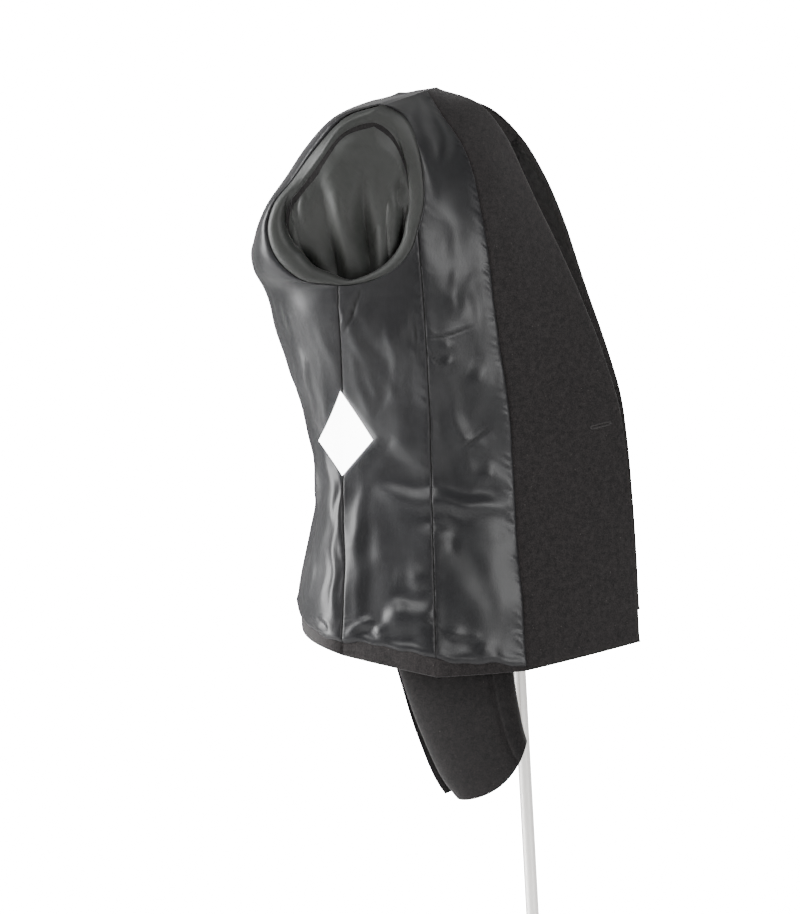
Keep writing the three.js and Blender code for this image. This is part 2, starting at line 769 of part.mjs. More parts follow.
function buttonOnLeftFront() {
  const { radius, thick, rim, hollow } = BUTTON;
  const profile = [
    [0, 0],
    [radius - rim, 0],
    [radius, thick / 2],
    [radius - rim, thick],
    [hollow, thick],
    [hollow - rim, thick - rim],
    [0, thick - rim],
  ].map(([x, y]) => new THREE.Vector2(x, y));
  const disc = new THREE.LatheGeometry(profile, ROUND_SIDES / 2);
  const seat = frontPoint(BUTTON.row, BUTTON.fromEdge);
  const upwards = frontPoint(BUTTON.row + ROW_STEP, BUTTON.fromEdge).sub(seat);
  const across = frontPoint(BUTTON.row, BUTTON.fromEdge + radius).sub(seat);
  const out = upwards.cross(across).normalize();
  seat.addScaledVector(out, WOOL.inner - SEAM_GAP);
  const facingIn = new THREE.Vector3(-out.x, out.y, out.z).negate();
  const button = new THREE.Mesh(disc, horn());
  button.name = "button_L";
  button.position.set(-seat.x, seat.y, seat.z);
  button.quaternion.setFromUnitVectors(new THREE.Vector3(0, 1, 0), facingIn);
  blazer.add(button);
}
buttonOnLeftFront();

// ---- Dress form and stand ---------------------------------------------------------------------

function formTorso() {
  const vertices = [];
  const triangles = [];
  for (const row of FORM) {
    for (let k = 0; k < FORM_SIDES; k += 1) {
      const angle = (2 * Math.PI * k) / FORM_SIDES;
      const round = (value) => Math.sign(value) * Math.abs(value) ** (2 / FORM_SQUARENESS);
      const middle = (row.front + row.back) / 2;
      const half = (row.back - row.front) / 2;
      const x = row.out * round(Math.cos(angle));
      vertices.push(new THREE.Vector3(x, middle + half * round(Math.sin(angle)), row.up));
    }
  }
  const at = (i, k) => i * FORM_SIDES + (k % FORM_SIDES);
  for (let i = 0; i < FORM.length - 1; i += 1) {
    for (let k = 0; k < FORM_SIDES; k += 1) {
      triangles.push([at(i, k), at(i, k + 1), at(i + 1, k + 1)]);
      triangles.push([at(i, k), at(i + 1, k + 1), at(i + 1, k)]);
    }
  }
  for (const [i, flip] of [[0, true], [FORM.length - 1, false]]) {
    const row = FORM[i];
    vertices.push(new THREE.Vector3(0, (row.front + row.back) / 2, row.up));
    const centre = vertices.length - 1;
    for (let k = 0; k < FORM_SIDES; k += 1) {
      triangles.push(flip ? [centre, at(i, k + 1), at(i, k)] : [centre, at(i, k), at(i, k + 1)]);
    }
  }
  return { vertices, triangles };
}
addPiece("form_torso", formTorso(), formCover());

function addTurned(name, profile, material) {
  const points = profile.map(([radius, height]) => new THREE.Vector2(radius, height));
  const mesh = new THREE.Mesh(new THREE.LatheGeometry(points, ROUND_SIDES), material);
  mesh.name = name;
  mesh.rotation.x = Math.PI / 2;
  blazer.add(mesh);
}

const formUnderside = FORM[0].up;
const flangeTop = formUnderside - SEAM_GAP;
const flangeBottom = flangeTop - FLANGE.height;
const bore = POLE_RADIUS + SEAM_GAP;
addTurned(
  "pole_flange",
  [
    [bore, flangeBottom],
    [FLANGE.neck, flangeBottom],
    [FLANGE.neck, flangeTop - FLANGE.thick],
    [FLANGE.radius, flangeTop - FLANGE.thick],
    [FLANGE.radius, flangeTop],
    [bore, flangeTop],
    [bore, flangeBottom],
  ],
  plated(),
);
addTurned(
  "pole",
  [
    [0, BASE.thick + SEAM_GAP],
    [POLE_RADIUS, BASE.thick + SEAM_GAP],
    [POLE_RADIUS, flangeTop],
    [0, flangeTop],
  ],
  plated(),
);
addTurned(
  "base",
  [
    [0, 0],
    [BASE.radius - BASE.edge, 0],
    [BASE.radius, BASE.edge],
    [BASE.radius, BASE.thick - BASE.edge],
    [BASE.radius - BASE.edge, BASE.thick],
    [BASE.bossRadius, BASE.thick],
    [BASE.bossRadius - BASE.edge, BASE.bossHeight],
    [bore, BASE.bossHeight],
    [bore, BASE.thick],
    [0, BASE.thick],
  ],
  plated(),
);

export default blazer;
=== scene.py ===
import math

import bpy
import numpy as np
from mathutils import Matrix, Vector


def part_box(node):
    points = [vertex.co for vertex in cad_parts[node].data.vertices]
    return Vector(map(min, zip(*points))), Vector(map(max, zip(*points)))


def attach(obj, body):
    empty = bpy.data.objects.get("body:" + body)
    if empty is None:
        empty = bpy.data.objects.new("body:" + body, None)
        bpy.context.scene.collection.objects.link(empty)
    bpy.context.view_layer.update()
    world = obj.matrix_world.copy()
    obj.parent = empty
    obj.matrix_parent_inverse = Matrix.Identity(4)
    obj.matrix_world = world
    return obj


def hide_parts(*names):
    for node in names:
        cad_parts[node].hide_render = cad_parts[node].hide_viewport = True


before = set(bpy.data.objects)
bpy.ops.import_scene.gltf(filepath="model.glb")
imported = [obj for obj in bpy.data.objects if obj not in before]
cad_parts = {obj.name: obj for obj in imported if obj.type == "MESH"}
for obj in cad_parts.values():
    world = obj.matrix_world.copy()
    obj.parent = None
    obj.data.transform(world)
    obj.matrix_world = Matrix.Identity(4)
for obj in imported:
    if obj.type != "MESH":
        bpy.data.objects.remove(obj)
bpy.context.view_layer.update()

# ---- Camera, floor and studio light ------------------------------------------------------------
# The camera stands level with the chest, 2.6 m off the wearer's right side and slightly rolled.
# The studio is a pale floor under large soft lamps: above, behind the back, and in front.

MM = 0.001
CAMERA_PLACE = (-2598.75, -127.79, 1272.0)
CAMERA_TURN = math.radians(5)
CAMERA_DIP = math.radians(5)
CAMERA_ROLL = math.radians(3.3)
CAMERA_LENS = 127.4

level = Vector((math.cos(CAMERA_TURN), math.sin(CAMERA_TURN), 0))
right = Vector((math.sin(CAMERA_TURN), -math.cos(CAMERA_TURN), 0))
aim = level * math.cos(CAMERA_DIP) - Vector((0, 0, 1)) * math.sin(CAMERA_DIP)
above = right.cross(aim)
turned_right = right * math.cos(CAMERA_ROLL) - above * math.sin(CAMERA_ROLL)
turned_above = right * math.sin(CAMERA_ROLL) + above * math.cos(CAMERA_ROLL)
camera_data = bpy.data.cameras.new("camera")
camera_data.lens = CAMERA_LENS
camera_data.sensor_width = 36
camera_data.sensor_fit = "HORIZONTAL"
camera_data.clip_end = 60
camera = bpy.data.objects.new("camera", camera_data)
bpy.context.scene.collection.objects.link(camera)
facing_axes = Matrix((turned_right, turned_above, -aim)).transposed().to_4x4()
camera.matrix_world = Matrix.Translation(Vector(CAMERA_PLACE) * MM) @ facing_axes
bpy.context.scene.camera = camera


def new_material(name):
    """A material, its nodes, and its Principled shader."""
    material = bpy.data.materials.new(name)
    material.use_nodes = True
    return material, material.node_tree.nodes, material.node_tree.nodes["Principled BSDF"]


def set_inputs(node, inputs):
    """Give inputs of a shader node their values, or the outputs that feed them."""
    for name, value in inputs.items():
        if isinstance(value, bpy.types.NodeSocket):
            node.id_data.links.new(value, node.inputs[name])
        else:
            node.inputs[name].default_value = value


def add_node(nodes, kind, inputs=None, **settings):
    """A new shader node, with its settings and its inputs."""
    node = nodes.new("ShaderNode" + kind)
    for name, setting in settings.items():
        setattr(node, name, setting)
    set_inputs(node, inputs or {})
    return node


def add_math(nodes, operation, *values):
    """The output of a new math node."""
    return add_node(nodes, "Math", dict(enumerate(values)), operation=operation).outputs[0]


def nothing_selected():
    bpy.ops.object.select_all(action="DESELECT")


BACKDROP_GLOW = 22.0  # the floor fades into a white backdrop
FLOOR_SIZE, FLOOR_DROP = 40, 0.0005  # in metres; it lies a hair below the base
FLOOR_FADE = {"From Min": 0.2, "From Max": 2.2, "To Min": 0.35, "To Max": BACKDROP_GLOW}
FLOOR_COLOUR = (0.86, 0.86, 0.86, 1)
WHITE = (1, 1, 1, 1)
nothing_selected()
bpy.ops.mesh.primitive_plane_add(size=FLOOR_SIZE, location=(0, 0, -FLOOR_DROP))
floor = bpy.context.object
floor.name = "floor"
bpy.ops.object.transform_apply(location=True, rotation=False, scale=False)
paper, nodes, shader = new_material("studio_paper")
place = add_node(nodes, "TexCoord").outputs["Object"]
distance = add_node(nodes, "VectorMath", {0: place}, operation="LENGTH").outputs["Value"]
away = add_node(
    nodes, "MapRange", {"Value": distance, **FLOOR_FADE}, interpolation_type="SMOOTHSTEP"
)
seen = add_node(nodes, "LightPath").outputs["Is Camera Ray"]
glow = add_math(nodes, "MULTIPLY", away.outputs[0], seen)
set_inputs(shader, {"Base Color": FLOOR_COLOUR, "Roughness": 0.9})
set_inputs(shader, {"Emission Color": WHITE, "Emission Strength": glow})
floor.data.materials.append(paper)

LIT_POINT = Vector((0, 0, 1.1))  # every lamp is turned to it
LAMPS = [  # place, size across and up, power
    ((-2.2, 0.9, 3.8), 1.6, 1.2, 52),
    ((-0.6, 3.4, 1.8), 2.0, 2.6, 320),
    ((-2.6, -2.5, 1.8), 1.4, 2.0, 66),
    ((3.0, -2.4, 1.3), 2.0, 2.0, 40),
]
for number, (spot, across, tall, power) in enumerate(LAMPS):
    data = bpy.data.lights.new(f"softbox_{number}", "AREA")
    data.shape = "RECTANGLE"
    data.size = across
    data.size_y = tall
    data.energy = power
    lamp = bpy.data.objects.new(f"softbox_{number}", data)
    bpy.context.scene.collection.objects.link(lamp)
    lamp.location = spot
    lamp.rotation_euler = (LIT_POINT - Vector(spot)).to_track_quat("-Z", "Y").to_euler()

WALLS_SLANT = -0.8  # the walls grow brighter towards the coat's left side and downwards
WALLS_FADE = {"From Min": -0.6, "From Max": 0.9, "To Min": 0.085, "To Max": 0.5}
world = bpy.data.worlds.new("studio")
bpy.context.scene.world = world
world.use_nodes = True
nodes = world.node_tree.nodes
direction = add_node(nodes, "TexCoord").outputs["Generated"]
axes = add_node(nodes, "SeparateXYZ", {0: direction}).outputs
lowered = add_math(nodes, "MULTIPLY_ADD", axes["Z"], WALLS_SLANT, axes["X"])
open_side = add_node(
    nodes, "MapRange", {"Value": lowered, **WALLS_FADE}, interpolation_type="SMOOTHSTEP"
)
walls = nodes["Background"]
set_inputs(walls, {"Color": WHITE, "Strength": open_side.outputs[0]})
backdrop = add_node(nodes, "Background", {"Strength": BACKDROP_GLOW})
seen = add_node(nodes, "LightPath").outputs["Is Camera Ray"]
mix = add_node(nodes, "MixShader", {0: seen, 1: walls.outputs[0], 2: backdrop.outputs[0]})
set_inputs(nodes["World Output"], {0: mix.outputs[0]})

# ---- Lining of the body ------------------------------------------------------------------------
# Six panels of dark satin, seamed at centre back, at the sides and along the wool facings.
# Sewn right sides together with 5 mm of ease, they pucker at the seams and blouse at the hem.
# Sizes are in millimetres: out from the middle, back from the pole, up from the floor.

CENTRE_BACK = [
    (0, 196, 899), (0, 195, 935), (0, 178, 985), (0, 172, 1035), (0, 181, 1090), (0, 192, 1140),
    (0, 200, 1176), (0, 207, 1209), (0, 212, 1226), (0, 213, 1244), (0, 205, 1262), (0, 192, 1282),
    (0, 177, 1303), (0, 157, 1330), (0, 134, 1352), (0, 93, 1372),
]
BACK_SEAM = [
    (162, 146, 886), (153, 142, 933), (141, 140, 985), (135, 139, 1035),
    (139, 136, 1090), (154, 132, 1140), (165, 130, 1176), (172, 129, 1209),
]
NECK_POINT = (65, 42, 1378)
SHOULDER_POINT = (176, 80, 1361)
ARMHOLE_BACK = [
    (174, 162, 1217), (174, 182, 1238), (174, 187, 1261), (174, 181, 1281),
    (174, 163, 1302), (175, 141, 1328), (176, 112, 1353), SHOULDER_POINT,
]
FRONT_SEAM = [
    (178, 63, 866), (168, 62, 933), (158, 61, 985), (150, 60, 1035),
    (153, 58, 1090), (162, 57, 1140), (166, 57, 1190), (167, 58, 1254),
]
ARMHOLE_FRONT = [
    (168, 52, 1275), (169, 51, 1299), (171, 54, 1324), (174, 64, 1350), SHOULDER_POINT,
]
FACING_AT_SHOULDER = 0.19
FACING_EDGE = [
    (153, -14, 864), (145, -13, 933), (138, -11, 985), (134, -11, 1035), (136, -10, 1090),
    (140, -6, 1140), (142, -2, 1190), (141, 1, 1240), (136, 6, 1274), (130, 10, 1298),
    (119, 19, 1325), (103, 38, 1355),
]
FRONT_EDGE = [
    (100, -114, 877), (100, -114, 940), (100, -113, 990), (99, -111, 1040), (98, -106, 1092),
    (96, -94, 1140), (95, -77, 1190), (91, -58, 1238), (90, -45, 1268), (87, -33, 1298),
    (79, -18, 1333), (72, 3, 1361), NECK_POINT,
]
UNDERARM_ROW = 7  # the armhole starts here, so the seams turn a corner
HEM_BAND = [(-14, 5), (30, 10), (60, 15), (100, 18), (146, 12), (200, 11)]  # back, height
BODY_MIDDLE = 45  # how far behind the pole the body's middle lies
SHOULDERS = (1230, 150)  # from here up, and over this height, the cloth turns to face upwards
FACES_OUT, FACES_UP = 1.3, 600  # how strongly the cloth faces sideways, and upwards up there


def on_right(rows):
    """Rows of a table, on the wearer's right side."""
    return np.array([(-out, back, up) for out, back, up in rows], float)


def outwards(points):
    """Unit directions out of the cloth: away from the middle, and upwards over the shoulders."""
    rise = np.clip((points[..., 2] - SHOULDERS[0]) / SHOULDERS[1], 0, None) ** 3
    sideways, backwards = points[..., 0] * FACES_OUT, points[..., 1] - BODY_MIDDLE
    away = np.stack([sideways, backwards, rise * FACES_UP], -1)
    return away / np.linalg.norm(away, axis=-1, keepdims=True)


def evenly_read(curve, shares):
    """Points of a curve at shares of its length."""
    lengths = np.concatenate([[0], np.cumsum(np.linalg.norm(np.diff(curve, axis=0), axis=1))])
    return np.stack([np.interp(shares * lengths[-1], lengths, curve[:, k]) for k in range(3)], -1)


CURVE_STEPS = np.linspace(0, 1, 121)[:, None]


def bezier(start, start_pull, end_pull, end):
    """Points of a curve whose two pulls give its direction at either end."""
    t = CURVE_STEPS
    return (
        start * (1 - t) ** 3
        + start_pull * 3 * t * (1 - t) ** 2
        + end_pull * 3 * t**2 * (1 - t)
        + end * t**3
    )


def slopes_of(keys, least_gap):
    """Gaps from each key row to the next, the slopes over them, and the slope at each row."""
    gaps = np.linalg.norm(np.diff(keys, axis=0), axis=2, keepdims=True)
    gaps = np.maximum(gaps, least_gap)
    slopes = np.diff(keys, axis=0) / gaps
    between = (gaps[:-1] * slopes[1:] + gaps[1:] * slopes[:-1]) / (gaps[:-1] + gaps[1:])
    return gaps, slopes, np.concatenate([slopes[:1], between, slopes[-1:]])


def smooth_step(start, leaving, end, arriving, t):
    """Points on the way from start to end, with the slopes that it leaves and arrives with."""
    return (
        start * (2 * t**3 - 3 * t**2 + 1)
        + leaving * (t**3 - 2 * t**2 + t)
        + end * (3 * t**2 - 2 * t**3)
        + arriving * (t**3 - t**2)
    )


class Panel:
    """A cut piece of the body: curves across it, joined by smooth curves up it.

    At its corner row, the edge at one end turns a corner, such as that of the armhole.
    """

    def __init__(self, curves, corner=None, corner_end=1):
        self.curves = curves
        self.corner = corner
        self.corner_end = corner_end
        spans = [np.linalg.norm(np.diff(curve, axis=0), axis=1).sum() for curve in curves]
        self.widths = np.array(spans)

    def at(self, places, shares):
        """Points at row numbers and at shares across, both of any matching shape."""
        shape = np.broadcast(places, shares).shape
        place = np.broadcast_to(places, shape).ravel()
        share = np.broadcast_to(shares, shape).ravel()
        rows = np.stack([evenly_read(curve, share) for curve in self.curves])
        gaps, slopes, leaving = slopes_of(rows, 1e-3)
        arriving = leaving.copy()
        if self.corner is not None:
            near = (share if self.corner_end == 1 else 1 - share)[:, None] ** 4
            c = self.corner
            arriving[c] = arriving[c] * (1 - near) + slopes[c - 1] * near
            leaving[c] = leaving[c] * (1 - near) + slopes[c] * near
        low = np.clip(place.astype(int), 0, len(rows) - 2)
        pick = np.arange(len(share))
        t = (place - low)[:, None]
        gap = gaps[low, pick]
        first, last = leaving[low, pick] * gap, arriving[low + 1, pick] * gap
        result = smooth_step(rows[low, pick], first, rows[low + 1, pick], last, t)
        return result.reshape(shape + (3,))


NECK_ROUND = 14
NECK_SHARE = 3 / 7
BACK_SQUARENESS = (0.55, 0.85)  # at the hem and at the underarm
BACK_PULLS = (0.5, 1.01)  # shares of the back's width
BACK_RISES = (0.2, 0.1)  # shares of its rise
BACK_FULLNESS = 2
SIDE_PULLS = (0.35, 0.7)
SIDE_PUSH = 3
UNDERARM_PULLS = (-2, 6, 8)  # below the back end, behind the front end and above the back end
SPAN_PULLS = (0.33, 0.67)
FRONT_BULGE = 3
neck_point = on_right([NECK_POINT])[0]
shoulder_point = on_right([SHOULDER_POINT])[0]


def back_curves():
    centre = on_right(CENTRE_BACK)
    edge = on_right(BACK_SEAM + ARMHOLE_BACK)
    low, high = BACK_SQUARENESS
    curves = []
    for i, (start, end) in enumerate(zip(centre[:-1], edge[:-1])):
        square = low + (high - low) * min(1, i / (len(BACK_SEAM) - 2))
        deep = end[1] + (start[1] - end[1]) * square
        ups = [start[2] + (end[2] - start[2]) * rise for rise in BACK_RISES]
        start_pull = np.array([end[0] * BACK_PULLS[0], start[1] + BACK_FULLNESS, ups[0]])
        end_pull = np.array([end[0] * BACK_PULLS[1], deep, ups[1]])
        curves.append(bezier(start, start_pull, end_pull, end))
    return curves


def neck_and_shoulder(share):
    """The back's top edge: round the neck for three sevenths, then along the shoulder seam."""
    share = np.asarray(share)[..., None]
    neck = np.clip(share / NECK_SHARE, 0, 1)
    centre = on_right(CENTRE_BACK[-1:])[0]
    point = centre + (neck_point - centre) * neck
    point = point + np.array([0, 1, 0]) * NECK_ROUND * np.sin(np.pi * neck)
    along = np.clip((share - NECK_SHARE) / (1 - NECK_SHARE), 0, 1)
    return point + (shoulder_point - neck_point) * along


def side_curves():
    curves = []
    rows = list(zip(on_right(BACK_SEAM), on_right(FRONT_SEAM)))
    push = np.array([SIDE_PUSH, 0, 0])
    for i, (start, end) in enumerate(rows):
        start_pull, end_pull = (start + (end - start) * share - push for share in SIDE_PULLS)
        if i == len(rows) - 1:
            start_pull[2] = start[2] + UNDERARM_PULLS[0]
            end_pull[1:] = end[1] + UNDERARM_PULLS[1], start[2] + UNDERARM_PULLS[2]
        curves.append(bezier(start, start_pull, end_pull, end))
    return curves


def spanned_curves(starts, ends, bulge):
    curves = []
    for i, (start, end) in enumerate(zip(starts, ends)):
        push = outwards((start + end) / 2) * (0 if i == len(starts) - 1 else bulge)
        start_pull, end_pull = (start + (end - start) * share + push for share in SPAN_PULLS)
        curves.append(bezier(start, start_pull, end_pull, end))
    return curves


facing_starts = np.vstack(
    [on_right(FACING_EDGE), neck_point + (shoulder_point - neck_point) * FACING_AT_SHOULDER]
)
front_starts = on_right(FRONT_SEAM + ARMHOLE_FRONT)
top_curve = neck_and_shoulder(np.linspace(0, 1, 701))
PANELS = {
    "back": Panel([*back_curves(), top_curve], UNDERARM_ROW, 1),
    "side": Panel(side_curves()),
    "front": Panel(spanned_curves(front_starts, facing_starts, FRONT_BULGE), UNDERARM_ROW, 0),
    "facing": Panel(spanned_curves(facing_starts, on_right(FRONT_EDGE), FRONT_BULGE)),
}


def clustered(length, close, wide, growth=1.4):
    """Shares along a length, close together at both ends and wider apart between them."""
    steps, step = [], close
    while sum(steps) < length / 2:
        steps.append(step)
        step = min(wide, step * growth)
    half = np.cumsum(steps) / sum(steps) / 2
    return np.concatenate([[0], half, 1 - half[-2::-1], [1]])


def smoothed(path, rounds=3, near=0.75, far=0.25):
    """A line through a few points, with its corners cut."""
    path = np.array(path, float)
    for _ in range(rounds):
        cut = np.empty((2 * len(path) - 2, path.shape[1]))
        cut[0::2] = path[:-1] * near + path[1:] * far
        cut[1::2] = path[:-1] * far + path[1:] * near
        path = np.vstack([path[:1], cut, path[-1:]])
    return path


def from_line(points, line):
    """How far points of a plane lie from a line, on which side, and at what share of its length."""
    best = np.full(len(points), np.inf)
    side, share = np.zeros(len(points)), np.zeros(len(points))
    lengths = np.linalg.norm(np.diff(line, axis=0), axis=1)
    walked = np.concatenate([[0], np.cumsum(lengths)])
    for i, (a, b) in enumerate(zip(line[:-1], line[1:])):
        along = b - a
        t = np.clip((points - a) @ along / max(along @ along, 1e-9), 0, 1)
        off = points - a - t[:, None] * along
        gap = np.linalg.norm(off, axis=1)
        closer = gap < best
        best[closer] = gap[closer]
        side[closer] = (along[0] * off[:, 1] - along[1] * off[:, 0])[closer]
        share[closer] = ((walked[i] + t * lengths[i]) / walked[-1])[closer]
    return best, side, share


def bell(distance, width):
    """1 at no distance, and falling away to either side like a soft fold."""
    return np.exp(-((distance / width) ** 2))


def ramped(values, start, span):
    """From 0 to 1 over a span."""
    return np.clip((values - start) / span, 0, 1)


def eased(values, start, span):
    """From 0 to 1 over a span, gently at both ends."""
    share = ramped(values, start, span)
    return share * share * (3 - 2 * share)


CREASE_REACH = 3  # in half widths: a crease isn't felt farther off
CREASE_ENDS, CREASE_SWELL = 0.75, 0.5  # its width at its ends, and what its middle adds
CREASE_FADE = 0.9
UNEVEN = (0.3, 9, 1.7)  # how uneven a crease is, how often, and the shift from line to line


def crease_relief(flat, creases, broader=1.0):
    """Height of soft ridges and troughs at points of a plane, from lines drawn in that plane."""
    height = np.zeros(len(flat))
    much, often, shift = UNEVEN
    for number, (path, width_one, width_other, rise) in enumerate(creases):
        line = smoothed(path)
        reach = CREASE_REACH * max(width_one, width_other) * broader
        low, high = line.min(0) - reach, line.max(0) + reach
        near = np.flatnonzero(((flat > low) & (flat < high)).all(1))
        if not len(near):
            continue
        best, side, share = from_line(flat[near], line)
        width = np.where(side > 0, width_one, width_other) * broader
        width = width * (CREASE_ENDS + CREASE_SWELL * np.sin(np.pi * share) ** 2)
        fade = np.sin(np.pi * np.clip(share, 0.01, 0.99)) ** CREASE_FADE
        uneven = 1 + much * np.sin(share * often + number * shift)
        height[near] += rise * fade * uneven * bell(best, width)
    return height


# Line in (back, up), half width on either side, height: ridges above 0 and troughs below.
SIDE_CREASES = [
    ([(107, 1047), (88, 1034), (59, 1030), (25, 1026), (-10, 1022)], 8, 8, -3.0),
    ([(114, 1038), (93, 1022), (60, 1016), (26, 1013), (-11, 1010)], 6, 6, 4.2),
    ([(89, 1002), (59, 998), (25, 995)], 6, 6, -1.4),
    ([(81, 990), (55, 987), (23, 984), (-7, 987)], 6, 6, 1.5),
    ([(8, 1085), (18, 1078), (29, 1071)], 4, 4, -0.8),
    ([(4, 1073), (16, 1064), (26, 1056)], 5, 5, 1.1),
    ([(42, 1131), (37, 1104), (33, 1073), (29, 1042), (28, 1023)], 14, 6, 3.2),
    ([(48, 1118), (44, 1087), (42, 1056), (42, 1030)], 7, 7, -2.4),
    ([(39, 1158), (42, 1144), (41, 1126)], 4, 4, 1.8),
    ([(53, 1149), (48, 1142), (43, 1135)], 5, 5, -0.9),
    ([(26, 1143), (19, 1141), (12, 1142)], 5, 5, -0.7),
    ([(13, 1135), (15, 1114), (14, 1089)], 7, 6, 1.6),
    ([(24, 993), (19, 965), (12, 935), (4, 911), (0, 892)], 6, 6, 0.5),
    ([(28, 972), (22, 950), (18, 929), (14, 907)], 6, 6, -0.6),
    ([(57, 904), (45, 901), (30, 900), (21, 898)], 5, 4, 1.8),
    ([(26, 892), (15, 885), (6, 877)], 5, 4, 1.8),
    ([(52, 895), (32, 892), (21, 888)], 5, 5, -1.8),
    ([(54, 963), (40, 947), (33, 917)], 10, 10, 1.2),
    ([(125, 1045), (122, 1017), (125, 982), (126, 955), (130, 931), (136, 908)], 5, 4, 2.2),
    ([(118, 1010), (119, 981), (122, 951), (128, 922)], 4, 8, -2.2),
    ([(99, 956), (79, 951), (61, 950)], 10, 8, 2.9),
    ([(102, 940), (84, 936), (64, 937)], 6, 6, -2.6),
    ([(111, 924), (88, 921), (64, 919)], 9, 8, 3.8),
    ([(138, 904), (128, 913), (118, 921)], 4, 3, 3.0),
    ([(118, 921), (110, 911), (103, 899)], 3.5, 4, 2.2),
    ([(126, 900), (118, 908), (113, 902)], 5, 5, -2.4),
    ([(100, 897), (87, 888), (68, 882)], 6, 4, 1.6),
    ([(99, 905), (84, 898), (69, 896)], 7, 7, -1.6),
    ([(94, 1128), (99, 1110), (103, 1094)], 2.6, 4, -2.0),
    ([(89, 1125), (94, 1105), (98, 1086)], 6, 6, 0.7),
    ([(129, 1111), (115, 1089), (105, 1069), (109, 1053)], 9, 9, -1.8),
    ([(107, 1211), (117, 1192), (125, 1169)], 2.4, 2.6, -1.8),
    ([(109, 1211), (119, 1194), (128, 1172)], 2.4, 3.5, 1.4),
    ([(95, 1199), (106, 1173), (121, 1144)], 7, 6, 1.4),
    ([(82, 1202), (93, 1168), (105, 1130)], 8, 8, -1.2),
    ([(78, 1198), (80, 1163), (79, 1120)], 12, 12, 2.2),
    ([(68, 1184), (66, 1156), (62, 1132)], 3, 6, -2.6),
    ([(84, 1103), (78, 1076), (82, 1054)], 12, 10, 0.9),
    ([(112, 1073), (95, 1055), (69, 1045)], 6, 6, -1.4),
    ([(191, 1200), (181, 1160), (166, 1110), (154, 1064)], 3, 4, 1.8),
    ([(182, 1189), (169, 1158), (158, 1112), (148, 1064)], 3.5, 3, -1.3),
    ([(172, 1176), (161, 1141), (150, 1101), (143, 1072)], 5, 4, 1.5),
    ([(156, 1182), (152, 1149), (142, 1121), (137, 1101)], 5, 4, -1.5),
    ([(148, 1180), (145, 1151), (137, 1123)], 4, 4, 1.3),
    ([(183, 1142), (173, 1127), (163, 1101), (155, 1075)], 1.8, 1.8, 1.3),
    ([(158, 1075), (153, 1048), (153, 1017), (160, 977), (172, 943)], 3, 3, 1.5),
    ([(154, 1064), (147, 1039), (146, 1013), (153, 978), (161, 931)], 2.5, 2.5, -1.5),
    ([(149, 1061), (141, 1035), (142, 1009), (147, 973), (152, 929)], 3, 2.5, 1.4),
    ([(160, 1070), (159, 1039), (162, 1008), (172, 977), (179, 953)], 2.5, 3, -1.3),
    ([(159, 1017), (164, 984), (173, 954), (179, 928)], 2, 2, 1.1),
    ([(149, 1017), (151, 991), (159, 955), (167, 921)], 2, 2, 1.1),
    ([(143, 1006), (145, 973), (148, 938), (149, 907)], 2.4, 2, -1.2),
    ([(176, 969), (181, 948), (184, 925)], 4, 6, 1.6),
    ([(171, 914), (162, 909), (155, 903)], 1.6, 1.6, -3.2),
    ([(174, 910), (165, 905), (157, 900)], 2.4, 3, 1.8),
    ([(168, 918), (159, 913), (152, 907)], 2.4, 2, 1.4),
    ([(59, 1371), (49, 1357), (43, 1343), (38, 1326), (34, 1308)], 3, 2.4, -2.2),
    ([(54, 1372), (43, 1358), (35, 1343), (29, 1325)], 4, 3, 1.8),
    ([(56, 1372), (40, 1358), (28, 1338), (24, 1310)], 3, 3, -1.6),
    ([(60, 1366), (57, 1338), (50, 1312), (47, 1288)], 3, 3, -1.5),
    ([(58, 1352), (50, 1325), (44, 1296), (40, 1266)], 4, 4, 1.4),
    ([(20, 1290), (27, 1260), (30, 1228)], 8, 8, 1.3),
    ([(38, 1262), (36, 1230), (31, 1196)], 6, 6, -1.3),
    ([(130, 1203), (115, 1152), (98, 1100)], 3, 3, 1.3),
    ([(121, 1200), (102, 1152), (82, 1108)], 2.6, 3, -1.3),
    ([(92, 1192), (87, 1150), (88, 1102)], 2.4, 2.6, 1.2),
    ([(74, 1186), (73, 1142), (71, 1096)], 3, 3, -1.2),
    ([(126, 1156), (119, 1122), (106, 1092)], 3, 3, 1.6),
    ([(101, 1094), (86, 1062), (70, 1046)], 5, 5, 0.6),
    ([(124, 1038), (110, 1060), (88, 1076)], 4, 4, -1.3),
    ([(112, 978), (90, 970), (64, 973)], 6, 6, 0.6),
    ([(30, 1222), (27, 1196), (33, 1174)], 4, 4, 1.6),
    ([(14, 1215), (18, 1190), (14, 1166)], 4, 4, -1.5),
    ([(8, 1050), (14, 1036), (30, 1024)], 4, 4, 1.6),
    ([(46, 1012), (40, 992), (43, 968)], 4, 4, -1.5),
    ([(178, 1196), (171, 1150), (158, 1096), (150, 1060)], 2.2, 2.2, 2.2),
    ([(166, 1190), (161, 1150), (150, 1110)], 2.2, 2.2, -2.0),
    ([(170, 1052), (165, 1020), (166, 985), (176, 945)], 2.4, 2.4, 2.2),
    ([(150, 1040), (148, 1000), (150, 960), (156, 915)], 2.2, 2.2, 2.0),
]
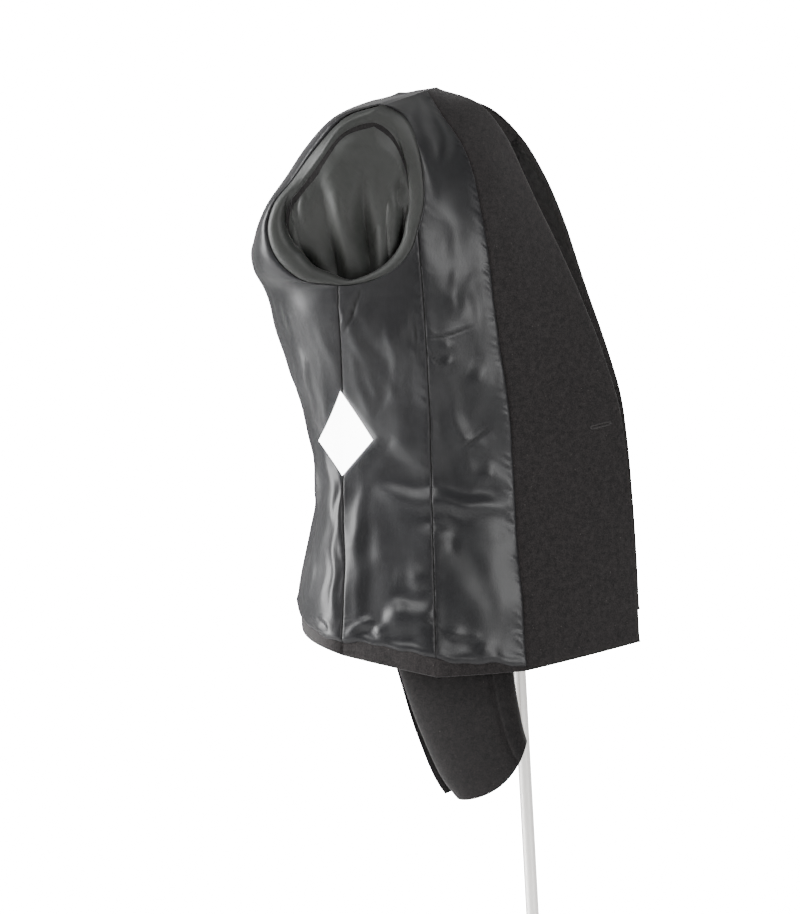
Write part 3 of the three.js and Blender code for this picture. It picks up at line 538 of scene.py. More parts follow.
# The same for the back seen square, in (out, up).
BACK_CREASES = [
    ([(14, 1340), (20, 1270), (26, 1180), (24, 1100)], 7, 9, 2.2),
    ([(34, 1330), (44, 1250), (52, 1170)], 6, 8, -2.0),
    ([(62, 1320), (66, 1240), (78, 1150)], 7, 7, 1.8),
    ([(96, 1310), (92, 1240), (98, 1170)], 8, 6, -1.8),
    ([(20, 1090), (30, 1010), (26, 930)], 6, 8, -1.8),
    ([(44, 1080), (52, 1000), (58, 925)], 7, 7, 2.2),
    ([(74, 1090), (76, 1010), (84, 925)], 6, 6, -1.6),
    ([(98, 1085), (98, 1000), (106, 920)], 6, 7, 1.8),
    ([(12, 1048), (50, 1040), (96, 1044)], 6, 7, -1.6),
    ([(10, 1030), (52, 1023), (100, 1028)], 5, 6, 1.6),
    ([(30, 915), (52, 925), (70, 912)], 4, 5, 1.8),
]
draws = np.random.default_rng(41)


def shifted(creases, share):
    """Similar creases for the other side, each moved and made higher or lower by a little."""
    result = []
    for path, one, other, rise in creases:
        move = draws.normal(0, 5, 2)
        path = [(x + move[0], y + move[1]) for x, y in path]
        result.append((path, one, other, rise * share * draws.uniform(0.6, 1.15)))
    return result


LEFT_SIDE_CREASES = shifted(SIDE_CREASES, 0.9)
LEFT_BACK_CREASES = shifted(BACK_CREASES, 1.0)
FULL_TURN = 6.3
# across and up (radians for each millimetre), phase and height of the drape's waves
BROAD = [
    (
        draws.normal(0, 0.075),
        draws.normal(0, 0.06),
        draws.uniform(0, FULL_TURN),
        draws.uniform(0.25, 0.5),
    )
    for _ in range(7)
]
NARROW = [
    (
        draws.uniform(0.12, 0.34),
        draws.normal(0, 0.07),
        draws.uniform(0, FULL_TURN),
        draws.uniform(0.04, 0.1),
    )
    for _ in range(14)
]


def ripples(around, up):
    """Uneven drape: broad hollows and swells, with narrower upright waves in some places."""
    bent = around + 7 * np.sin(up * 0.028) + 3 * np.sin(up * 0.071 + 1)
    raised = up + 6 * np.sin(around * 0.04) + 3 * np.sin(around * 0.09 + 2)
    broad = sum(size * np.sin(bent * a + raised * b + phase) for a, b, phase, size in BROAD)
    narrow = sum(size * np.sin(bent * a + raised * b + phase) for a, b, phase, size in NARROW)
    patch = 0.6 + 0.4 * np.sin(around * 0.05 + 1.3) * np.sin(up * 0.037 + 0.4)
    return broad + narrow * patch


SLACK = 1.3  # the lining stands this far off the wool beneath it
BROADER = 1.25
DEEPEST = 2.1  # no hollow gets deeper than this
STIR = [(2.2, 0.061, 1), (1.1, 0.17, 2)]  # size, radians a millimetre and phase of its wavering
BODY_ROUND = 150  # radius that turns angles round the body into lengths
BACK_STARTS, BACK_ENDS = (135, 25), (-125, 30)  # where the back's own creases fade, and over what
SIDE_STARTS = (45, 30)  # the same for the side's creases
LEFT_MOVED = 40  # the left half's ripples are those of a place this far on


def lining_relief(points, left):
    """Height of the lining over its plain form, at points of the right half."""
    flat = points.reshape(-1, 3)
    stir = sum(size * np.sin(flat[:, [2, 1]] * rate + phase) for size, rate, phase in STIR)
    seen = flat[:, 1:] + stir
    sideways = crease_relief(seen, LEFT_SIDE_CREASES if left else SIDE_CREASES, BROADER)
    turned = np.stack([-flat[:, 0], flat[:, 2]], 1)
    behind = crease_relief(turned, LEFT_BACK_CREASES if left else BACK_CREASES, BROADER)
    on_back = ramped(flat[:, 1], *BACK_STARTS) * ramped(flat[:, 0], *BACK_ENDS)
    on_side = ramped(-flat[:, 0], *SIDE_STARTS)
    around = np.arctan2(flat[:, 0], flat[:, 1] - BODY_MIDDLE) * BODY_ROUND
    height = sideways * on_side + behind * on_back
    height += ripples(around + LEFT_MOVED * left, flat[:, 2])
    height = SLACK + np.where(height < 0, DEEPEST * np.tanh(height / DEEPEST), height)
    return height.reshape(points.shape[:-1])


STITCH_DIP = (0.9, 0.7)  # depth, half width
STITCH_SWELL = (0.25, 3.6, 4.5)  # height, half width, distance from the seam
PUCKER_SIZES = [0.35, 0.7, 1.0, 1.4]
PUCKER_WIDTHS = (0.9, 1.7)
PUCKER_STEPS = (3.2, 8.5)  # from one pucker to the next
PUCKER_HOLLOW = (0.6, 2.1)  # share of its height, and widths away


def seam_relief(gap, along, seed, pucker, slant, reach=8.0):
    """Cloth beside a seam: it dips to the stitches, swells beyond them and puckers unevenly."""
    swell, swell_width, swell_place = STITCH_SWELL
    height = -STITCH_DIP[0] * bell(gap, STITCH_DIP[1])
    height = height + swell * bell(gap - swell_place, swell_width)
    rng = np.random.default_rng(seed)
    place = along.min()
    hollow, apart = PUCKER_HOLLOW
    while place < along.max():
        length = reach * rng.uniform(0.4, 1.3)
        lean = slant * rng.uniform(0.3, 1.5)
        size = pucker * rng.choice(PUCKER_SIZES)
        width = rng.uniform(*PUCKER_WIDTHS)
        off = along - place - lean * gap
        fade = bell(gap, length) * (1 - bell(gap, 0.9))
        height = height + size * fade * (
            bell(off, width) - hollow * bell(off - apart * width, width)
        )
        place += rng.uniform(*PUCKER_STEPS)
    return height


def lengths_across(points):
    steps = np.linalg.norm(np.diff(points, axis=1), axis=2)
    return np.concatenate([np.zeros((len(points), 1)), np.cumsum(steps, axis=1)], axis=1)


def lengths_up(points):
    steps = np.linalg.norm(np.diff(points, axis=0), axis=2)
    return np.concatenate([np.zeros((1, points.shape[1])), np.cumsum(steps, axis=0)], axis=0)


LEFT_CHEST = (1285, 75, 13)  # up, spread, forward
LEFT_CHEST_STARTS, LEFT_CHEST_FULL = 45, -15  # how far back


def to_left(points):
    """The left half: mirrored, with its front standing further forward at the chest."""
    up, spread, forward = LEFT_CHEST
    share = eased(points[..., 1], LEFT_CHEST_STARTS, LEFT_CHEST_FULL - LEFT_CHEST_STARTS)
    result = points * np.array([-1, 1, 1])
    result[..., 1] -= forward * bell(points[..., 2] - up, spread) * share
    return result


SAME_POINT = 0.00005  # metres: the two ends of a tube are joined within this
SHARP_FOLD = math.radians(50)


def cloth(name, points, thick, material, marks=None, closed=False):
    """A sheet of cloth from a grid of points in millimetres, whose order makes its face."""
    rows, columns = points.shape[:2]
    nothing_selected()
    bpy.ops.mesh.primitive_grid_add(x_subdivisions=columns - 1, y_subdivisions=rows - 1, size=1)
    piece = bpy.context.object
    piece.name = name
    piece.data.name = name
    piece.data.vertices.foreach_set("co", (points * MM).ravel())
    across = lengths_across(points) * MM
    rise = lengths_up(points) * MM
    wide = across - across[:, -1:] / 2
    flat = np.stack([wide, rise], -1).reshape(-1, 2)
    corners = np.zeros(len(piece.data.loops), np.int32)
    piece.data.loops.foreach_get("vertex_index", corners)
    piece.data.uv_layers.active.data.foreach_set("uv", flat[corners].ravel())
    for label, values in (marks or {}).items():
        layer = piece.data.attributes.new(label, "FLOAT", "POINT")
        layer.data.foreach_set("value", values.astype(np.float32).ravel())
    if closed:
        bpy.ops.object.mode_set(mode="EDIT")
        bpy.ops.mesh.select_all(action="SELECT")
        bpy.ops.mesh.remove_doubles(threshold=SAME_POINT)
        bpy.ops.object.mode_set(mode="OBJECT")
    wall = piece.modifiers.new("wall", "SOLIDIFY")
    wall.thickness = thick * MM
    wall.offset = -1
    bpy.ops.object.modifier_apply(modifier="wall")
    bpy.ops.object.shade_smooth_by_angle(angle=SHARP_FOLD)
    piece.data.materials.append(material)
    return piece


def flat_size(points):
    """Width, length and area of a piece before it was sewn, in metres."""
    width = lengths_across(points)[:, -1].max() * MM
    length = lengths_up(points)[-1].max() * MM
    a = points[1:, 1:] - points[:-1, :-1]
    b = points[1:, :-1] - points[:-1, 1:]
    area = np.linalg.norm(np.cross(a, b), axis=2).sum() / 2 * MM * MM
    return round(float(width), 3), round(float(length), 3), round(float(area), 4)


def sewn(piece, node, points):
    """Hang a sheet under the root and hide the node that it stands for; its flat size and area are
    worked out but not used.
    """
    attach(piece, "root")
    if node:
        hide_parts(node)
    width, length, area = flat_size(points)
    area = min(area, round(width * length, 5))


THREAD_SLOWNESS = 0.04  # a thread changes this much more slowly along it than across


def thread_group():
    """Fine threads in two directions: a mask from those that run up, a height from both."""
    tree = bpy.data.node_groups.new("threads", "ShaderNodeTree")
    for label, kind, way in (
        ("Vector", "Vector", "INPUT"),
        ("Warp", "Float", "INPUT"),
        ("Weft", "Float", "INPUT"),
        ("Mask", "Float", "OUTPUT"),
        ("Height", "Float", "OUTPUT"),
    ):
        tree.interface.new_socket(label, in_out=way, socket_type=f"NodeSocket{kind}")
    nodes = tree.nodes
    enter, leave = nodes.new("NodeGroupInput"), nodes.new("NodeGroupOutput")
    split = add_node(nodes, "SeparateXYZ", {0: enter.outputs["Vector"]})
    heights = []
    for axis, other_axis, label in (("X", "Y", "Warp"), ("Y", "X", "Weft")):
        count = enter.outputs[label]
        across = add_math(nodes, "MULTIPLY", split.outputs[axis], count)
        along = add_math(nodes, "MULTIPLY", split.outputs[other_axis], count)
        slow = add_math(nodes, "MULTIPLY", along, THREAD_SLOWNESS)
        joined = add_node(nodes, "CombineXYZ", {0: across, 1: slow}).outputs[0]
        noise = add_node(nodes, "TexNoise", {"Vector": joined, "Scale": 1.0, "Detail": 2.0})
        heights.append(noise.outputs[0])
    both = add_math(nodes, "ADD", *heights)
    set_inputs(leave, {"Mask": heights[0], "Height": add_math(nodes, "MULTIPLY", both, 0.5)})
    return tree


threads = thread_group()


def add_weave(nodes, warp, weft):
    """The threads, along and across a piece's own flat shape, in threads a metre."""
    flat = add_node(nodes, "UVMap").outputs[0]
    inputs = {"Vector": flat, "Warp": warp, "Weft": weft}
    return add_node(nodes, "Group", inputs, node_tree=threads).outputs


def add_tones(nodes, mask, dark, light, dark_at=0.0, light_at=1.0):
    """A colour between two, by a mask."""
    ramp = add_node(nodes, "ValToRGB", {0: mask})
    first, last = ramp.color_ramp.elements
    first.position, first.color = dark_at, (*dark, 1)
    last.position, last.color = light_at, (*light, 1)
    return ramp.outputs[0]


def add_relief(nodes, shader, height, strength, distance):
    """Let a height stand out of a material."""
    values = {"Height": height, "Strength": strength, "Distance": distance}
    set_inputs(shader, {"Normal": add_node(nodes, "Bump", values).outputs[0]})


SATIN_WARP, SATIN_WEFT = 1500, 700
SATIN_DRIFT = {"Scale": 9, "Detail": 3}
THREAD_SHOWS = 0.45  # how strongly the threads tint the cloth, beside the drift
SEAM_PAINTED_SHADE = 0.15  # painted shade at seams and closed creases: share of the cloth's dark tone left there
SEAM_DULL = 0.5  # how much rougher a seam is
SATIN_FINISH = {"Specular IOR Level": 0.55, "Sheen Weight": 0.05, "Sheen Roughness": 0.35}


def satin(name, dark, light, roughness):
    """Dense satin: threads run up the piece, its colour drifts a little, and its seams and closed
    creases are painted darker as painted shade.
    """
    material, nodes, shader = new_material(name)
    weave = add_weave(nodes, SATIN_WARP, SATIN_WEFT)
    place = add_node(nodes, "TexCoord").outputs["Object"]
    drift = add_node(nodes, "TexNoise", {"Vector": place, **SATIN_DRIFT}).outputs[0]
    blend = add_math(nodes, "MULTIPLY_ADD", weave["Mask"], THREAD_SHOWS, drift)
    plain = add_tones(nodes, blend, dark, light, 0.45, 0.95)
    # painted shade: the seam mask darkens the colour, and dulls it, where shade falls in seams and
    # closed creases
    seam = add_node(nodes, "Attribute", attribute_name="seam").outputs["Fac"]
    seam_shade_colour = tuple(tone * SEAM_PAINTED_SHADE for tone in dark) + (1,)
    tones = {"Factor": seam, "A": plain, "B": seam_shade_colour}
    colour = add_node(nodes, "Mix", tones, data_type="RGBA").outputs["Result"]
    span = {"Value": drift, "To Min": roughness - 0.05, "To Max": roughness + 0.08}
    rough = add_node(nodes, "MapRange", span).outputs[0]
    dull = add_math(nodes, "MULTIPLY_ADD", seam, SEAM_DULL, rough)
    set_inputs(shader, {"Base Color": colour, "Roughness": dull, **SATIN_FINISH})
    add_relief(nodes, shader, weave["Height"], 0.12, 0.0003)
    return material


body_satin = satin("lining_satin", (0.0085, 0.0086, 0.0098), (0.0195, 0.0197, 0.0216), 0.39)


def hem_heights(points):
    back = [row[0] for row in HEM_BAND]
    height = [row[1] for row in HEM_BAND]
    return np.interp(points[..., 1], back, height)


def row_places(panel, step):
    """Row numbers up a panel, about a step apart."""
    shares = np.linspace(0, 1, 9)
    keys = [panel.at(np.full(9, float(i)), shares) for i in range(len(panel.curves))]
    places = [np.array([0.0])]
    for i in range(len(keys) - 1):
        count = max(2, round(np.linalg.norm(keys[i + 1] - keys[i], axis=1).max() / step))
        places.append(i + np.arange(1, count + 1) / count)
    return np.concatenate(places)


NECK_SETTLES, SHOULDER_SETTLES = 14.0, 7.0  # over these distances


def settling(base, rise):
    """From 0 to 1: every layer lies flat near the point of the neck and along the shoulder seam."""
    from_neck = np.linalg.norm(base - neck_point, axis=-1) / NECK_SETTLES
    return np.clip(np.minimum(from_neck, (rise[-1:] - rise) / SHOULDER_SETTLES), 0, 1)


SIDES = (("R", False), ("L", True))
SEAMS = {  # seed, strength and slant of the puckers at a panel's first and last edge
    "back": ((11, 0.12, 0.2), (12, 0.3, -0.4)),
    "side": ((13, 0.3, 0.4), (14, 0.6, 0.7)),
    "front": ((15, 0.3, -0.5), (16, 0.95, 0.8)),
}
LEFT_SEED = 50  # the left half's puckers are drawn from a seed this much higher
# Thin lines: panel, line in (back, up), half width, depth. First the end of an inner pocket's
# facing, then closed creases under the armhole, beside the front seam and at the back's hem.
# Each line is also painted darker along its length: painted shade in the closed crease.
LINES = [
    ("front", [(59, 1160), (42, 1160), (15, 1168)], 0.9, 0.4),
    ("front", [(57, 1146), (50, 1141), (44, 1133)], 1.1, 0.3),
    ("front", [(32, 1061), (20, 1069), (7, 1079)], 1.1, 0.7),
    ("side", [(106, 1212), (112, 1200), (119, 1184), (126, 1168)], 1.5, 0.9),
    ("side", [(67, 1186), (66, 1168), (62, 1140)], 1.3, 0.5),
    ("back", [(177, 915), (169, 911), (161, 905), (156, 902)], 1.5, 1.2),
    ("back", [(186, 1196), (178, 1166)], 1.2, 0.4),
]
LINING_THICK = 0.5
SEAM_SHADE_LINE = 0.7  # half width of the painted shade line at a seam
HEM_STILL = (6, 0.75, 0.5)  # creases fade this near the hem, by this share, to this height
HEM_ROLL, HEM_ROLL_WIDTH, HEM_ROLL_HEIGHT = 4.0, 3.0, 1.2
HEM_EDGE, HEM_EDGE_DEPTH = 1.6, 0.9
fine = 1.25  # sets how far apart the points of the cloth are
for name in ("back", "side", "front"):
    panel = PANELS[name]
    shares = clustered(panel.widths.mean(), 0.4, 2.2 * fine)[None, :]
    places = row_places(panel, (1.5 if name == "front" else 2.0) * fine)[:, None]
    foot = panel.at(np.zeros_like(shares), shares)
    next_row = panel.at(np.ones_like(shares), shares)
    wave = 1.3 * np.sin(foot[..., 1] * 0.11)
    wave = wave + 0.7 * np.sin(foot[..., 1] * 0.27 + foot[..., 0] * 0.05)
    start = (hem_heights(foot) + wave) / (next_row[..., 2] - foot[..., 2])
    lifted = np.where(places < 1, start + (1 - start) * places, places + 0 * start)
    base = panel.at(lifted, np.broadcast_to(shares, lifted.shape))
    across, rise = lengths_across(base), lengths_up(base)
    settled = settling(base, rise) if name != "side" else 1.0
    gap_first, gap_last = across, across[:, -1:] - across
    # painted shade: a darker line along both seams, and along the closed creases below
    shade_mark = bell(gap_first, SEAM_SHADE_LINE) + bell(gap_last, SEAM_SHADE_LINE)
    grooves = 0 * shade_mark
    for _, line, half, deep in [row for row in LINES if row[0] == name]:
        off, _, share = from_line(base[..., 1:].reshape(-1, 2), smoothed(line))
        off, fade = off.reshape(shade_mark.shape), np.sin(np.pi * share.reshape(shade_mark.shape)) ** 0.5
        shade_mark = shade_mark + 0.8 * fade * bell(off, half)
        lip = bell(off - 2.6 * half, 1.6 * half)
        grooves = grooves + deep * fade * (0.8 * lip - bell(off, 1.3 * half))
    still, quiet, left_high = HEM_STILL
    for side, left in SIDES:
        height = lining_relief(base, left)
        for gap, (seed, pucker, slant) in zip((gap_first, gap_last), SEAMS[name]):
            height += seam_relief(gap, rise, seed + LEFT_SEED * left, pucker, slant)
        height += grooves
        near_hem = bell(rise, still)
        height = height * (1 - quiet * near_hem) + near_hem * left_high
        height += HEM_ROLL_HEIGHT * bell(rise - HEM_ROLL, HEM_ROLL_WIDTH)
        height -= HEM_EDGE_DEPTH * np.clip(1 - rise / HEM_EDGE, 0, 1) ** 2
        height *= settled
        made = base + outwards(base) * height[..., None]
        made = to_left(made)[:, ::-1] if left else made
        shade_flags = shade_mark[:, ::-1] if left else shade_mark
        node, marks = f"lining_{name}_{side}", {"seam": shade_flags}
        piece = cloth(f"{node}_satin", made, LINING_THICK, body_satin, marks)
        sewn(piece, node, base)

# ---- Turned-up wool hem ------------------------------------------------------------------------
# The wool shell is folded up inside along the bottom edge and hemmed by hand.
# The lining is sewn to it a little below its raw edge and hangs over it.

HEM_UNDER = 6.0  # how far the hem runs up under the lining
HEM_THICK = 1.0
HEM_HEIGHT = 20  # about, with what runs up under the lining
EDGE_ROUND = 1.65  # the shell and what is folded onto it meet on this radius
HEM_SEAM = (0.5, 1.2)  # depth and half width of the dip at a seam
WOOL_DARK, WOOL_LIGHT = (0.007, 0.0062, 0.0064), (0.032, 0.0275, 0.0275)
WOOL_LINT = (0.06, 0.055, 0.052)
WOOL_FIBRE = {"Scale": 900, "Detail": 4, "Roughness": 0.7}
WOOL_NAP, NAP_SHOWS = {"Scale": 230, "Detail": 3}, 0.5
LINT_SPACING, LINT_SIZE, LINT_RARITY = {"Scale": 330}, 0.16, 0.95
WOOL_FINISH = {"Roughness": 0.95, "Specular IOR Level": 0.2}
WOOL_BLOOM = {"Sheen Weight": 0.17, "Sheen Roughness": 0.6}


def woollen(name, dark, light, fleck):
    """Felted wool: soft fibres, a matt bloom, and a few pale flecks of lint."""
    material, nodes, shader = new_material(name)
    place = add_node(nodes, "TexCoord").outputs["Object"]
    fibre = add_node(nodes, "TexNoise", {"Vector": place, **WOOL_FIBRE}).outputs[0]
    nap = add_node(nodes, "TexNoise", {"Vector": place, **WOOL_NAP}).outputs[0]
    both = add_math(nodes, "MULTIPLY_ADD", nap, NAP_SHOWS, fibre)
    felt = add_tones(nodes, both, dark, light, 0.55, 0.95)
    speck = add_node(nodes, "TexVoronoi", {"Vector": place, **LINT_SPACING}).outputs
    near = add_math(nodes, "LESS_THAN", speck["Distance"], LINT_SIZE)
    tone = add_node(nodes, "SeparateColor", {0: speck["Color"]}).outputs[0]
    few = add_math(nodes, "GREATER_THAN", tone, LINT_RARITY)
    lint = add_math(nodes, "MULTIPLY", near, few)
    tones = {"Factor": lint, "A": felt, "B": (*fleck, 1)}
    colour = add_node(nodes, "Mix", tones, data_type="RGBA").outputs["Result"]
    set_inputs(shader, {"Base Color": colour, **WOOL_FINISH, **WOOL_BLOOM})
    add_relief(nodes, shader, both, 0.5, 0.0006)
    return material


def rounded_edge(gap, radius):
    """Depth of a rounded edge at a distance in from it."""
    inside = np.clip(radius - gap, 0, radius)
    return radius - np.sqrt(np.maximum(radius**2 - inside**2, 0))


wool_cloth = woollen("wool", WOOL_DARK, WOOL_LIGHT, WOOL_LINT)
for name in ("back", "side", "front"):
    panel = PANELS[name]
    shares = clustered(panel.widths.mean(), 1.2, 3.0 * fine)[None, :]
    foot = panel.at(np.zeros_like(shares), shares)
    next_row = panel.at(np.ones_like(shares), shares)
    top = (hem_heights(foot) + HEM_UNDER) / (next_row[..., 2] - foot[..., 2])
    levels = clustered(HEM_HEIGHT, 0.5, 2.0)[:, None]
    base = panel.at(levels * top, np.broadcast_to(shares, (len(levels), shares.shape[1])))
    across, rise = lengths_across(base), lengths_up(base)
    dip, dip_width = HEM_SEAM
    for side, left in SIDES:
        height = -rounded_edge(rise, EDGE_ROUND) - dip * bell(across, dip_width)
        height -= dip * bell(across[:, -1:] - across, dip_width)
        height += 0.25 * np.sin(base[..., 1] * 0.17 + 2 * left)
        height -= 0.5 * ramped(rise, rise.max(0) - HEM_UNDER, HEM_UNDER)
        made = base + outwards(base) * height[..., None]
        made = to_left(made)[:, ::-1] if left else made
        piece = cloth(f"hem_{name}_{side}_fold", made, HEM_THICK, wool_cloth)
        sewn(piece, f"hem_{name}_{side}", base)

# ---- Facings -----------------------------------------------------------------------------------
# A shaped strip of wool inside each front edge, from the hem to the shoulder seam, fused flat.
# It turns over the front edge, in a close fold below and in a soft roll where the lapel starts.

ROLL_ROUND = 3.6
ROLL_STARTS, ROLL_GROWS = 3.4, 1.2  # row of the front edge, and rows until the roll is full
FACING_WIDTH, FACING_THICK = 105, 1.2  # about, where it is widest
FACING_SEAM = (0.8, 1.3)  # depth and half width of the dip at the lining's seam


def edge_radius(places):
    return EDGE_ROUND + (ROLL_ROUND - EDGE_ROUND) * eased(places, ROLL_STARTS, ROLL_GROWS)


def facing_relief(points, left):
    flat = points.reshape(-1, 3)[:, 1:]
    soft = crease_relief(flat, shifted(FACING_CREASES, 1.0) if left else FACING_CREASES)
    return soft.reshape(points.shape[:-1])


FACING_CREASES = [
    ([(-70, 1060), (-66, 1010), (-70, 940)], 16, 18, 0.9),
    ([(-92, 1062), (-94, 1030), (-96, 990)], 3, 4, -0.5),
    ([(-30, 1180), (-40, 1120), (-44, 1050)], 12, 14, -0.8),
    ([(-20, 1250), (-24, 1200), (-34, 1150)], 9, 10, 0.9),
    ([(-48, 960), (-52, 910), (-50, 880)], 10, 12, 0.8),
    ([(-96, 930), (-92, 900), (-98, 882)], 8, 9, -0.7),
    ([(10, 1330), (-4, 1310), (-20, 1280)], 8, 9, 0.7),
]
panel = PANELS["facing"]
shares = clustered(FACING_WIDTH, 0.6, 2.4 * fine)[None, :]
places = row_places(panel, 2.4 * fine)[:, None]
base = panel.at(np.broadcast_to(places, (len(places), shares.shape[1])), shares)
across, rise = lengths_across(base), lengths_up(base)
gap_front = across[:, -1:] - across
for side, left in SIDES:
    height = facing_relief(base, left) - FACING_SEAM[0] * bell(across, FACING_SEAM[1])
    height -= rounded_edge(gap_front, edge_radius(places))
    height -= rounded_edge(rise, EDGE_ROUND)
    height *= settling(base, rise)
    made = base + outwards(base) * height[..., None]
    made = to_left(made)[:, ::-1] if left else made
    piece = cloth(f"facing_{side}_wool", made, FACING_THICK, wool_cloth)
    sewn(piece, f"facing_{side}", base)

# ---- Wool body ---------------------------------------------------------------------------------
# Back, side and front of the coat's own wool, which now hangs inside, next to the form.
# The seams are pressed open; the front runs on under the facing to the edge.

SHELL_DEPTH = 3.3
SHELL_THICK = 1.4


class WholeFront:
    """Front panel and facing read as one cut piece, as the wool beneath them is."""

    def __init__(self):
        front, facing = PANELS["front"], PANELS["facing"]
        self.rows = np.arange(len(front.curves), dtype=float)
        self.front_widths, self.facing_widths = front.widths, facing.widths
        self.widths = front.widths + facing.widths

    def from_edge(self, places, gaps):
        """Points at row numbers and at distances in from the front edge."""
        shape = np.broadcast(places, gaps).shape
        places, gaps = np.broadcast_to(places, shape), np.broadcast_to(gaps, shape)
        facing_width = np.interp(places, self.rows, self.facing_widths)
        front_width = np.interp(places, self.rows, self.front_widths)
        on_facing = PANELS["facing"].at(places, np.clip(1 - gaps / facing_width, 0, 1))
        beyond = np.clip(1 - (gaps - facing_width) / front_width, 0, 1)
        on_front = PANELS["front"].at(places, beyond)
        return np.where((gaps <= facing_width)[..., None], on_facing, on_front)

    def at(self, places, shares):
        width = np.interp(places, self.rows, self.widths)
        return self.from_edge(places, (1 - shares) * width)


whole_front = WholeFront()
for name, panel in (("back", PANELS["back"]), ("side", PANELS["side"]), ("front", whole_front)):
    places = row_places(PANELS[name], 6 * fine)[:, None]
    shares = clustered(panel.widths.mean(), 1.5, 6 * fine)[None, :]
    base = panel.at(np.broadcast_to(places, (len(places), shares.shape[1])), shares)
    across, rise = lengths_across(base), lengths_up(base)
    for side, left in SIDES:
        depth = SHELL_DEPTH - rounded_edge(rise, EDGE_ROUND)
        if name == "front":
            depth -= rounded_edge(across[:, -1:] - across, EDGE_ROUND)
        made = base - outwards(base) * depth[..., None]
        if name == "front":
            pull = ramped(places, ROLL_STARTS, ROLL_GROWS) * ROLL_ROUND
            narrower = np.clip(across - (across[:, -1:] - pull), 0, None)
            step = made - np.roll(made, 1, axis=1)
            step /= np.maximum(np.linalg.norm(step, axis=-1, keepdims=True), 1e-6)
            made = made - step * narrower[..., None]
        made = to_left(made) if left else made[:, ::-1]
        piece = cloth(f"shell_{name}_{side}_wool", made, SHELL_THICK, wool_cloth)
        sewn(piece, f"shell_{name}_{side}", base)

# ---- Lapels ------------------------------------------------------------------------------------
# Two layers of wool sewn round their edge, which roll over the front edge and lie inside it.
# Each grows out of the front and its facing, and lies flat against the wool of the front.

LAPEL = [(4, 6), (5, 30), (6, 50), (7, 64), (8, 72), (9, 76), (10.2, 62)]  # row, width
LAPEL_DEPTH = 8.0
LAPEL_THICK = 2.4
LAPEL_MEAN = 60  # its mean width, about
LAPEL_ROUND = ROLL_ROUND + 0.4
LAPEL_EDGE = (0.7, 1.2)  # how far the sewn edge bends in, and over what width
places = np.linspace(LAPEL[0][0], LAPEL[-1][0], round(120 / fine))[:, None]
reach = np.interp(places, [row[0] for row in LAPEL], [row[1] for row in LAPEL])
shares = clustered(LAPEL_MEAN, 0.7, 3.0 * fine)[None, :]
gaps = shares * reach
base = whole_front.from_edge(places, gaps)
for side, left in SIDES:
    depth = LAPEL_DEPTH - rounded_edge(gaps, LAPEL_ROUND)
    depth += LAPEL_EDGE[0] * bell(reach - gaps, LAPEL_EDGE[1])
    made = base - outwards(base) * depth[..., None]
    made = to_left(made)[:, ::-1] if left else made
    piece = cloth(f"lapel_{side}_roll", made, LAPEL_THICK, wool_cloth)
    sewn(piece, f"lapel_{side}", base)

# ---- Collar ------------------------------------------------------------------------------------
# One band of wool, doubled, sewn to the neckline; it rolls over the neck edge and lies inside.
# It runs from one lapel round the back of the neck to the other.

COLLAR_GORGE = (10.2, 40)  # row of the front edge, width there
COLLAR_AT_SHOULDER = 46
COLLAR_BACK = 1.9  # rows of the back that it covers
COLLAR_DEPTH = 10.7
COLLAR_THICK = 2.6
COLLAR_ROUND = 5.0
COLLAR_AT_NECK = 4.5  # how deep its roll starts, at the neck's edge
COLLAR_ROLL = (COLLAR_DEPTH - COLLAR_AT_NECK) / COLLAR_ROUND
COLLAR_EDGE = (0.8, 1.4)  # how far the sewn edge bends in, and over what width
top = len(PANELS["back"].curves) - 1
last = len(PANELS["front"].curves) - 1
shoulder_length = np.linalg.norm(neck_point - shoulder_point)
top_length = PANELS["back"].widths[-1]
neck_share = 1 - shoulder_length / top_length
shoulder_share = neck_share + (1 - neck_share) * COLLAR_AT_SHOULDER / shoulder_length
down = clustered(COLLAR_AT_SHOULDER, 0.8, 3.0)
columns = []
for along in np.linspace(0, 1, round(46 / fine)):
    reach = COLLAR_BACK * (1 - along**2) * down
    share = along * (neck_share + (shoulder_share - neck_share) * down)
    columns.append(PANELS["back"].at(top - reach, share))
for along in np.linspace(0, 1, round(34 / fine))[1:]:
    place = last + (COLLAR_GORGE[0] - last) * along
    width = COLLAR_AT_SHOULDER + (COLLAR_GORGE[1] - COLLAR_AT_SHOULDER) * along
    columns.append(whole_front.from_edge(np.full(len(down), place), width * down))
right_half = np.array(columns)
left_half = to_left(right_half[:0:-1])
base = np.concatenate([left_half, right_half])
gaps = lengths_across(base)
depth = COLLAR_DEPTH - rounded_edge(gaps, COLLAR_ROUND) * COLLAR_ROLL
depth += COLLAR_EDGE[0] * bell(gaps[:, -1:] - gaps, COLLAR_EDGE[1])
made = base - outwards(base) * depth[..., None]
piece = cloth("collar_roll", made, COLLAR_THICK, wool_cloth)
sewn(piece, "collar", base)

# ---- Sleeves -----------------------------------------------------------------------------------
# Two-piece wool sleeves with their own lining, still right side out, so they hang down inside.
# Seen through the armhole: the lining's band along the seam, then the cap in deep soft folds.

SLEEVE = [  # out, back, up, half width, half depth, tilt, bow of the cuff
    (146, 105, 1190, 47, 16, 9, 0), (131, 98, 1120, 44, 11, 10, 0), (122, 84, 1040, 46, 10, 11, 0),
    (132, 66, 950, 51, 12, 12, 0), (138, 49, 871, 50, 14, 12, 0), (140, 38, 818, 45, 14, 16, 0),
    (140, 27, 784, 42, 15, 30, 9), (140, 22, 775, 41, 15, 37, 14),
]
SLEEVE_FLATNESS = 0.6
CUFF_CORNER, CUFF_CORNER_TIGHT = 0.12, 12  # rounds the cuff's lower corner
CAP_BULGE = 9.0
CAP_FULLNESS = 10.0  # how far the cap's lower end hangs out towards the armhole
